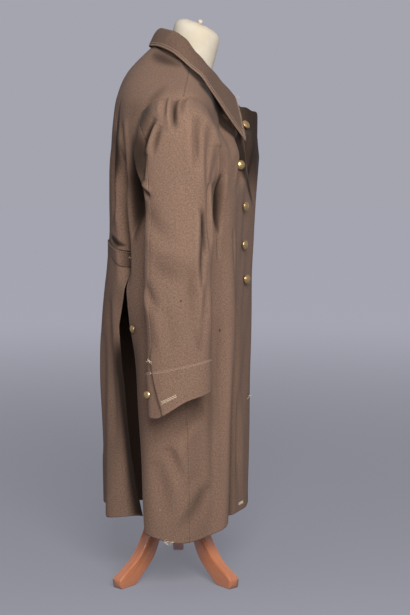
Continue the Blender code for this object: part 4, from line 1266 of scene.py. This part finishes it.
class GreatcoatStage(bpy.types.PropertyGroup):
    """Floor, light and camera."""

    floor: colour_setting("Floor", "Colour of the floor", (0.13, 0.13, 0.148))
    sky: colour_setting("Surround", "Colour of the surrounding light", (0.375, 0.375, 0.43))
    key: power_setting("Key light", "Power of the key light", 95.0)
    fill: power_setting("Fill light", "Power of the fill light", 4.0)
    top: power_setting("Top light", "Power of the top light", 6.0)


def hang(mesh, material, node):
    """Hang a shell in place of its node."""
    piece = add_piece(mesh, material, "wool", node)


class GREATCOAT_OT_body(bpy.types.Operator):
    """Sew the fronts and backs: shells on the body's sections with folds, creases and slack."""

    bl_idname = "greatcoat.body"
    bl_label = "Fronts and backs"

    def execute(self, context):
        cloth = context.scene.greatcoat_cloth
        rows = cut_rows(cloth.rows)
        panels = (
            ("front_right", right_front, front_relief, front_shade, 1.00, (1, 0, 1, 0), (0.43, 1.10, 0.37)),
            ("front_left", left_front, front_relief, body_shade, 0.80, (0, 1, 1, 0), (0.38, 1.10, 0.30)),
            ("back_right", right_back, body_relief, body_shade, 0.42, (0, 1, 1, 0), (0.26, 1.12, 0.16)),
            ("back_left", left_back, body_relief, vent_shade, 0.90, (0, 0, 1, 0), (0.55, 1.12, 0.47)),
        )
        for node, surface, relief, shade, share, free, cut in panels:
            across = np.linspace(0.0, 1.0, int(cloth.columns * share))
            # painted shading of the panel's creases, folds and shaded places
            depth = shading_of(surface, body_depth, BODY_DEEPEST, shade)
            mesh = cloth_mesh(node + "_cloth", hung(surface, relief), across, rows, WALL, 0.0, free, depth)
            hang(mesh, coat_wool(), node)
        return {"FINISHED"}


class GREATCOAT_OT_sleeves(bpy.types.Operator):
    """Set the sleeves and cuffs: shells on tubes through the armholes and a row of slanted ovals."""

    bl_idname = "greatcoat.sleeves"
    bl_label = "Sleeves and cuffs"

    def execute(self, context):
        rows = np.concatenate([np.linspace(0.0, 3.0, 84), np.linspace(3.0, SLEEVE_END, 98)[1:]])
        cuff_rows = np.linspace(CUFF_TOP, CUFF_END, 36)

        def slit(row):
            return slit_turn(row) + SLEEVE_SEAM

        def under_slit(row):
            return 360.0 + slit_turn(row) + SLIT_LAP * ramp(row, SLIT_TOP, 0.2) - SLEEVE_SEAM

        def band_end(row):
            return under_slit(row) - BAND_GAP

        def front_seam(row):
            return INNER_SEAM - SLEEVE_SEAM + 0.0 * row

        for name, side in SIDES:
            upper = sleeve_piece(side, slit, front_seam)
            under = sleeve_piece(side, front_seam, under_slit)
            band = sleeve_piece(side, slit, band_end)
            pieces = (
                ("sleeve_upper_", upper, 112, rows, WALL, 0.0, (0, 0, 0, 1), (0.27, 0.67, 0.13)),
                ("sleeve_under_", under, 56, rows, WALL, 0.0, (0, 0, 0, 1), (0.26, 0.64, 0.10)),
                ("cuff_", band, 124, cuff_rows, CUFF_WALL, CUFF_OVER, (1, 1, 1, 1), (0.40, 0.09, 0.029)),
            )
            for label, (surface, depth), columns, lines, wall, lift, free, cut in pieces:
                node = label + name
                shares = np.linspace(0.0, 1.0, columns)
                mesh = cloth_mesh(node + "_cloth", surface, shares, lines, wall, lift, free, depth)
                hang(mesh, coat_wool(), node)
        return {"FINISHED"}


class GREATCOAT_OT_collar(bpy.types.Operator):
    """Set the collar: a ruled stand, and a fall between the fold line and the outer edge."""

    bl_idname = "greatcoat.collar"
    bl_label = "Collar"

    def execute(self, context):
        stations = np.linspace(-COLLAR_REACH, COLLAR_REACH, 190)
        fall = creased(collar_fall, collar_relief)
        pieces = (
            ("collar_stand", collar_stand, 16, (0.56, 0.05, 0.021), "back_left"),
            ("collar_fall", fall, 40, (0.80, 0.13, 0.049), "collar_stand"),
        )
        for node, surface, rows, cut, under in pieces:
            mesh = cloth_mesh(node + "_cloth", surface, stations, np.linspace(0, 1, rows), COLLAR_WALL)
            hang(mesh, collar_wool(), node)
        return {"FINISHED"}


class GREATCOAT_OT_belt(bpy.types.Operator):
    """Hang the half-belt: a strap on the back's plain surface, bowed and sagging."""

    bl_idname = "greatcoat.belt"
    bl_label = "Half-belt"

    def execute(self, context):
        # Painted shade at the belt's loose end and along its upper edge.
        def shade(across, rise):
            return 0.75 * np.exp(-((across / 0.07) ** 2)) + 0.5 * np.exp(-(((rise - 1.0) / 0.15) ** 2))

        mesh = cloth_mesh("half_belt_cloth", belt_surface, np.linspace(0, 1, 120), np.linspace(0, 1, 15),
                          CUFF_WALL, 0.0, (0, 0, 0, 0), shade)
        hang(mesh, coat_wool(), "half_belt")
        return {"FINISHED"}


def button_frame(node):
    """Middle and axis of a button's solid, from the spread of its points, and their heights."""
    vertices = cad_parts[node].data.vertices
    points = np.empty(3 * len(vertices), np.float32)
    vertices.foreach_get("co", points)
    points = np.unique(np.round(points.astype(float).reshape(-1, 3), 6), axis=0)
    middle = points.mean(0)
    axis = np.linalg.svd(points - middle)[2][2]
    height = (points - middle) @ axis
    if abs(height.min()) >= height.max():
        axis = -axis
    return middle, axis, height


# A button's profile: radius and height over the rim's plane, as shares of its radius
BUTTON_PROFILE = np.array([
    (0.0, DOME), (0.14, 0.636), (0.30, 0.612), (0.46, 0.570), (0.60, 0.515), (0.73, 0.445), (0.83, 0.380),
    (0.88, 0.345), (0.905, 0.315), (0.93, 0.300), (0.965, 0.285), (0.99, 0.235), (1.0, 0.170), (0.985, 0.120),
    (0.92, 0.090), (0.60, 0.080), (0.24, 0.070), (0.20, -0.08), (0.22, -SHANK), (0.0, -SHANK),
])


class GREATCOAT_OT_buttons(bpy.types.Operator):
    """Sew on the buttons: domes with a rolled rim and a shank, turned about each solid's own axis."""

    bl_idname = "greatcoat.buttons"
    bl_label = "Buttons"

    def execute(self, context):
        trim = context.scene.greatcoat_trim
        brass = finish_of("worn_brass", brass_finish, tuple(trim.brass))
        rim = np.clip(1 - np.abs(BUTTON_PROFILE[:, 0] - 0.91) / 0.07, 0.0, 1.0) + (BUTTON_PROFILE[:, 1] < 0.1)
        points, quads = turned_arrays(BUTTON_PROFILE, trim.steps)
        values = {"rim": np.repeat(np.clip(rim, 0.0, 1.0), trim.steps)}
        names = [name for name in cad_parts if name.startswith("button_")]
        if not names:
            raise RuntimeError("the frame holds no buttons")
        for name in names:
            size = HIP_SIZE if name == "button_hip" else SMALL_BUTTON if "cuff" in name else 1.0
            radius = BUTTON_RADIUS * size
            middle, axis, height = button_frame(name)
            mirror = np.array([np.sign(middle[0]), 1.0, 1.0])
            away = middle * np.array([1.0, 1.0, 0.0])
            if "cuff" in name:
                away = away - SLEEVE_MIDDLE * mirror
            if axis @ away < 0:
                axis, height = -axis, -height
            rim_plane = middle + axis * (height.max() - DOME * radius)
            if "cuff" in name:
                axis = unit(axis + CUFF_LEAN * mirror)
                rim_plane = rim_plane + CUFF_SHIFT * mirror
            if name.startswith("button_right"):
                axis = unit(axis + BUTTON_LEAN)
                rim_plane = rim_plane + axis * BUTTON_STAND
            turn = Vector(axis).to_track_quat("Z", "Y").to_matrix().to_4x4()
            matrix = Matrix.Translation(rim_plane) @ turn
            mesh = fill_mesh(name + "_brass", placed(points * radius, matrix), quads, None, values)
            add_piece(mesh, brass, "brass", name)
        return {"FINISHED"}


class GREATCOAT_OT_sewing(bpy.types.Operator):
    """Topstitch the edges and work the buttonholes: rows of half spindles along lines of the shells."""

    bl_idname = "greatcoat.sewing"
    bl_label = "Stitches and buttonholes"

    def execute(self, context):
        cloth = context.scene.greatcoat_cloth
        pitch = cloth.stitch
        brown = finish_of("brown_thread", thread_finish, tuple(cloth.brown_thread))
        pale = finish_of("pale_thread", thread_finish, tuple(cloth.pale_thread))
        fall = creased(collar_fall, collar_relief)
        front = hung(right_front, front_relief)
        stations = np.linspace(-COLLAR_REACH + 0.06, COLLAR_REACH - 0.06, 500)
        rows = np.linspace(0.08, 10.85, 600)
        widths = np.linspace(0.05, 0.95, 160)
        brown_rows = [seam_stitches(fall, stations, width, pitch) for width in (0.955, 0.88)]
        for end in (-1.0, 1.0):
            for inset in (0.05, 0.13):
                brown_rows.append(seam_stitches(fall, end * (COLLAR_REACH - inset), widths, pitch))
        brown_rows.append(seam_stitches(front, 0.045, rows, pitch))
        brown_rows.append(seam_stitches(belt_surface, np.linspace(0.02, 0.98, 300), 0.88, pitch))
        pale_rows = []
        line = CUFF_TOP + 0.03
        for _, side in SIDES:
            sleeve = creased(lifted_sleeve(side), sleeve_relief(side))
            turns = side * np.linspace(slit_turn(line) + 3.0, 350.0 + slit_turn(line), 500)
            brown_rows.append(seam_stitches(sleeve, turns, line, pitch, CUFF_OVER))
            pale_rows += buttonhole(sleeve, side * np.linspace(-31.0, -5.0, 40), 6.72, CUFF_OVER, 0.9)
        pale_rows += buttonhole(front, np.linspace(0.265, 0.350, 40), 0.17, 0.0, 0.9)
        for label, parts, material in (("topstitching", brown_rows, brown), ("pale_sewing", pale_rows, pale)):
            add_piece(fill_mesh(label, *join_arrays(parts)), material, "wool")
        return {"FINISHED"}


class GREATCOAT_OT_threads(bpy.types.Operator):
    """Leave the loose threads: thin tubes along swaying paths where sewing has given way."""

    bl_idname = "greatcoat.threads"
    bl_label = "Loose threads"

    def execute(self, context):
        cloth = context.scene.greatcoat_cloth
        pale = finish_of("pale_thread", thread_finish, tuple(cloth.pale_thread))
        sleeve = creased(lifted_sleeve(1.0), sleeve_relief(1.0))
        front = hung(right_front, front_relief)
        back = hung(right_back, body_relief)
        roots = (
            (sleeve, SLIT_ANGLE + 3.0, SLIT_TOP + 0.08, 5, 0.010),
            (sleeve, SLIT_ANGLE + 2.0, CUFF_TOP + 0.02, 3, 0.008),
            (front, 0.176, 1.70, 4, 0.009),
            (back, 0.48, 0.01, 6, 0.012),
            (back, 0.38, 0.02, 4, 0.008),
            (belt_surface, 0.012, 0.60, 4, 0.008),
            (collar_fall, COLLAR_REACH - 0.05, 0.03, 4, 0.007),
        )
        tubes = []
        for number, (surface, across, along, count, length) in enumerate(roots):
            point, normal = along_line(surface, np.array([across]), np.array([along]), 0.002)
            for k in range(count):
                aim = 2.4 * k + number
                sway = (0.25 * math.sin(aim), 0.8 * math.cos(aim), 0.7 * math.sin(1.7 * aim))
                reach = length * (0.6 + 0.4 * math.sin(aim) ** 2)
                path = curl(point[0], normal[0] * 0.6 + np.array(sway), reach, 0.35)
                tubes.append(tube_arrays(path, THREAD_RADIUS))
        add_piece(fill_mesh("loose_threads", *join_arrays(tubes)), pale, "wool")
        return {"FINISHED"}


# Profiles of the neck and its knob: radius, height
NECK_PROFILE = np.array([
    (0.0, NECK_HEIGHT), (0.45 * NECK_RADIUS, NECK_HEIGHT - 0.001), (0.70 * NECK_RADIUS, NECK_HEIGHT - 0.003),
    (0.84 * NECK_RADIUS, NECK_HEIGHT - 0.0075), (0.93 * NECK_RADIUS, NECK_HEIGHT - 0.012),
    (0.98 * NECK_RADIUS, NECK_HEIGHT - 0.018), (NECK_RADIUS, NECK_HEIGHT - 0.026),
    (0.995 * NECK_RADIUS, 0.6 * NECK_HEIGHT), (0.98 * NECK_RADIUS, 0.35 * NECK_HEIGHT),
    (0.96 * NECK_RADIUS, 0.02), (0.975 * NECK_RADIUS, 0.006), (0.97 * NECK_RADIUS, SEAM_GAP), (0.0, SEAM_GAP),
])
KNOB_PROFILE = np.array([
    (0.0, 0.011), (0.4 * KNOB_RADIUS, 0.0105), (0.75 * KNOB_RADIUS, 0.0092), (KNOB_RADIUS, 0.006),
    (0.8 * KNOB_RADIUS, 0.003), (0.5 * KNOB_RADIUS, 0.0), (0.0, 0.0),
])


class GREATCOAT_OT_form(bpy.types.Operator):
    """Stuff the form: the coat's plain sections moved in by wall and slack, a turned neck and knob."""

    bl_idname = "greatcoat.form"
    bl_label = "Dress form"

    def execute(self, context):
        trim = context.scene.greatcoat_trim
        cream = finish_of("cream_cotton", cream_finish, tuple(trim.cream))
        angle = np.arange(FORM_STEPS) * 360.0 / FORM_STEPS
        body = np.linspace(FORM_BOTTOM_ROW, ROW_CHEST, 26)
        rows = np.concatenate([body, np.linspace(ROW_CHEST, FORM_TOP_ROW, 40)[1:]])
        rings = form_point(*np.meshgrid(angle, rows))
        rings[0, :, 2] = FORM_BOTTOM
        base = closing_ring(rings[0])
        base[..., 2] = FORM_BOTTOM
        neck = tilted_ring(angle, NECK_RADIUS + NECK_MARGIN)
        rings = np.concatenate([base[None], rings, neck[None], closing_ring(neck)[None]])
        quads = ring_quads(len(rings), FORM_STEPS)
        mesh = fill_mesh("form_torso_cover", rings.reshape(-1, 3), quads)
        add_piece(mesh, cream, "cream_cloth", "form_torso")
        tilt = Matrix.Translation(NECK_BASE) @ Matrix.Rotation(NECK_TILT, 4, "X")
        points, quads = turned_arrays(NECK_PROFILE, 64)
        x, y, z = points.T
        turn = np.arctan2(y, x)
        dent = 1 - 0.012 * (1 + np.sin(3 * turn + 40 * z)) * (z > 0.5 * NECK_HEIGHT)
        x, y = x * dent, y * dent
        y = y * (1 + 0.13 * (y > 0) * z / NECK_HEIGHT)
        slope = 0.17 * y + 0.0006 * np.sin(9 * turn) * np.hypot(x, y) / NECK_RADIUS
        points = np.stack([x, y, z + (z / NECK_HEIGHT) ** 3 * slope], -1)
        mesh = fill_mesh("form_neck_cover", placed(points, tilt), quads)
        add_piece(mesh, cream, "cream_cloth", "form_neck")
        points, quads = turned_arrays(KNOB_PROFILE, 32)
        top = tilt @ Matrix.Translation((0.0, 0.0, NECK_HEIGHT + SEAM_GAP))
        mesh = fill_mesh("form_knob_cover", placed(points, top), quads)
        add_piece(mesh, cream, "cream_cloth", "form_knob")
        return {"FINISHED"}


# Edges of a leg: distance from the pole and height.
# columns: upper reach, upper height, lower reach, lower height
LEG_EDGES = np.array([
    (0.0263, 0.2320, 0.0263, 0.1720),
    (0.0600, 0.1960, 0.0450, 0.1500),
    (0.0890, 0.1400, 0.0680, 0.0960),
    (0.1150, 0.0940, 0.0940, 0.0500),
    (0.1480, 0.0560, 0.1310, 0.0180),
    (0.1920, 0.0300, 0.1580, 0.0000),
    (0.2040, 0.0215, 0.2000, 0.0000),
])
# Hub's profile: radius, height
HUB_PROFILE = np.array([
    (0.0, HUB_TOP), (0.68 * HUB_RADIUS, HUB_TOP), (0.88 * HUB_RADIUS, HUB_TOP - 0.004),
    (HUB_RADIUS, HUB_TOP - 0.013), (HUB_RADIUS, 0.160), (0.86 * HUB_RADIUS, 0.152),
    (0.80 * HUB_RADIUS, 0.146), (0.90 * HUB_RADIUS, 0.138), (0.94 * HUB_RADIUS, 0.130),
    (0.78 * HUB_RADIUS, 0.118), (0.5 * HUB_RADIUS, 0.1105), (0.0, 0.108),
])


class GREATCOAT_OT_stand(bpy.types.Operator):
    """Saw the legs, as a rounded board section carried between two edges, and turn the hub and pole."""

    bl_idname = "greatcoat.stand"
    bl_label = "Stand"

    def execute(self, context):
        trim = context.scene.greatcoat_trim
        wood = finish_of("varnished_wood", wood_finish, tuple(trim.wood))
        edges = smooth_rows(LEG_EDGES, np.linspace(0.0, len(LEG_EDGES) - 1.0, 60))
        edges[:, [1, 3]] = np.maximum(edges[:, [1, 3]], 0.0)
        turn = np.linspace(0.0, 2 * np.pi, 41)
        wide = np.sign(np.cos(turn)) * np.abs(np.cos(turn)) ** LEG_SQUARE * LEG_THICKNESS / 2
        tall = np.sign(np.sin(turn)) * np.abs(np.sin(turn)) ** LEG_SQUARE
        middle = (edges[:, None, :2] + edges[:, None, 2:]) / 2
        half = (edges[:, None, :2] - edges[:, None, 2:]) / 2
        profile = middle + half * tall[None, :, None]
        leg = np.concatenate([profile, np.broadcast_to(wide[:, None], (*profile.shape[:2], 1))], -1)
        ends = closing_ring(leg[[0, -1]])
        leg = np.concatenate([ends[:1], leg, ends[1:]])
        uv = np.stack([arc_lengths(leg, 0), arc_lengths(leg, 1)], -1).reshape(-1, 2)
        quads = grid_faces(*leg.shape[:2])[:, ::-1]
        for number, angle in enumerate(LEG_ANGLES, start=1):
            out = outwards(angle)
            points = leg[..., :1] * out + leg[..., 2:] * np.cross(UP, out) + leg[..., 1:2] * UP
            name = f"stand_leg_{number}"
            mesh = fill_mesh(name + "_wood", points.reshape(-1, 3), quads, uv + 0.7 * number)
            add_piece(mesh, wood, "wood", name)
        high, low = FORM_BOTTOM - SEAM_GAP, HUB_TOP + SEAM_GAP
        pole = [(0.0, high), (POLE_RADIUS, high), (POLE_RADIUS, low), (0.0, low)]
        for name, shape in (("stand_hub", HUB_PROFILE), ("stand_pole", pole)):
            points, quads = turned_arrays(shape, 48)
            uv = np.stack([points[:, 2], np.arctan2(points[:, 1], points[:, 0]) * 0.02], -1)
            mesh = fill_mesh(name + "_wood", points, quads, uv)
            mesh.set_sharp_from_angle(angle=math.radians(50))
            add_piece(mesh, wood, "wood", name)
        return {"FINISHED"}


def area_light(name, place, target, size, power):
    """Square soft light that faces a target."""
    light = bpy.data.lights.new(name, "AREA")
    light.size = size
    light.energy = power
    lamp = bpy.data.objects.new(name, light)
    lamp.location = place
    lamp.rotation_euler = (Vector(target) - Vector(place)).to_track_quat("-Z", "Y").to_euler()
    bpy.context.scene.collection.objects.link(lamp)


FLOOR_HALF = 60.0
# Painted light: how strongly the floor glows, as a share of the surround.
FLOOR_GLOW = (0.39, 0.87)    # the floor's own light under the coat and far from it, share of the surround
# columns: light, place, target, size
LIGHTS = (
    ("key", (-2.25, -0.36, 1.62), (0.0, 0.0, 0.7), 1.3),
    ("fill", (-2.0, -2.2, 1.5), (0.0, 0.0, 0.7), 1.6),
    ("top", (-0.3, 0.1, 2.9), (0.0, 0.0, 0.0), 1.4),
)
CAMERA_PLACE = (-3.0, -0.0656, 0.887)
CAMERA_DIP = 5.15            # degrees that the camera looks down
CAMERA_SENSOR = 24.0
CAMERA_LENS = 50.9


class GREATCOAT_OT_stage(bpy.types.Operator):
    """Set the stage: a floor that glows with painted light, soft lights and the camera at the wearer's right
    side.
    """

    bl_idname = "greatcoat.stage"
    bl_label = "Stage"

    def execute(self, context):
        stage = context.scene.greatcoat_stage
        finish = Finish("pale_floor", Roughness=0.7, Specular_IOR_Level=0.0, Base_Color=(*stage.floor, 1.0),
                        Emission_Strength=1.0)
        # Painted light: the floor glows, dimmer under the coat and brighter far off, where it fades into the
        # surround.
        away = finish.node("ShaderNodeVectorMath", {"operation": "LENGTH"}, {0: finish.place()}, 1)
        near, far = (toned(stage.sky, share) for share in FLOOR_GLOW)
        finish.feed("Emission Color", finish.mix(finish.span(away, 0.3, 6.0), near, far))
        corners = FLOOR_HALF * np.array([(-1, -1, 0), (1, -1, 0), (1, 1, 0), (-1, 1, 0)])
        floor = bpy.data.objects.new("floor", fill_mesh("floor", corners, np.array([[0, 1, 2, 3]])))
        floor.data.materials.append(finish.material)
        context.scene.collection.objects.link(floor)
        world = context.scene.world or bpy.data.worlds.new("surround")
        context.scene.world = world
        world.use_nodes = True
        surround = world.node_tree.nodes["Background"]
        surround.inputs["Color"].default_value = (*stage.sky, 1.0)
        surround.inputs["Strength"].default_value = 1.0
        for name, place, target, size in LIGHTS:
            area_light(name, place, target, size, getattr(stage, name))
        context.scene.view_settings.view_transform = "Standard"
        camera = bpy.data.cameras.new("camera")
        camera.sensor_fit = "VERTICAL"
        camera.sensor_height = CAMERA_SENSOR
        camera.lens = CAMERA_LENS
        eye = bpy.data.objects.new("camera", camera)
        eye.location = CAMERA_PLACE
        eye.rotation_euler = (math.radians(90.0 - CAMERA_DIP), 0.0, math.radians(-90.0))
        context.scene.collection.objects.link(eye)
        context.scene.camera = eye
        return {"FINISHED"}


class GREATCOAT_PT_panel(bpy.types.Panel):
    """Sidebar list of the coat's pieces."""

    bl_label = "Greatcoat"
    bl_idname = "GREATCOAT_PT_panel"
    bl_space_type = "VIEW_3D"
    bl_region_type = "UI"
    bl_category = "Greatcoat"

    def draw(self, context):
        for operator in OPERATORS:
            self.layout.operator(operator.bl_idname)
        for name in SETTINGS:
            settings = getattr(context.scene, name)
            for key in settings.__annotations__:
                self.layout.prop(settings, key)


OPERATORS = (
    GREATCOAT_OT_stage, GREATCOAT_OT_body, GREATCOAT_OT_sleeves, GREATCOAT_OT_collar, GREATCOAT_OT_belt,
    GREATCOAT_OT_buttons, GREATCOAT_OT_sewing, GREATCOAT_OT_threads, GREATCOAT_OT_form, GREATCOAT_OT_stand,
)
SETTINGS = {
    "greatcoat_cloth": GreatcoatCloth,
    "greatcoat_trim": GreatcoatTrim,
    "greatcoat_stage": GreatcoatStage,
}
CLASSES = (*SETTINGS.values(), *OPERATORS, GREATCOAT_PT_panel)


def register():
    """Add the classes and their settings."""
    for item in CLASSES:
        bpy.utils.register_class(item)
    for name, group in SETTINGS.items():
        setattr(bpy.types.Scene, name, PointerProperty(type=group))


def unregister():
    """Remove the settings and the classes."""
    for name in SETTINGS:
        delattr(bpy.types.Scene, name)
    for item in reversed(CLASSES):
        bpy.utils.unregister_class(item)


def main():
    """Build every piece through its operator."""
    register()
    bpy.ops.greatcoat.stage()
    bpy.ops.greatcoat.body()
    bpy.ops.greatcoat.sleeves()
    bpy.ops.greatcoat.collar()
    bpy.ops.greatcoat.belt()
    bpy.ops.greatcoat.buttons()
    bpy.ops.greatcoat.sewing()
    bpy.ops.greatcoat.threads()
    bpy.ops.greatcoat.form()
    bpy.ops.greatcoat.stand()


if __name__ == "__main__":
    main()
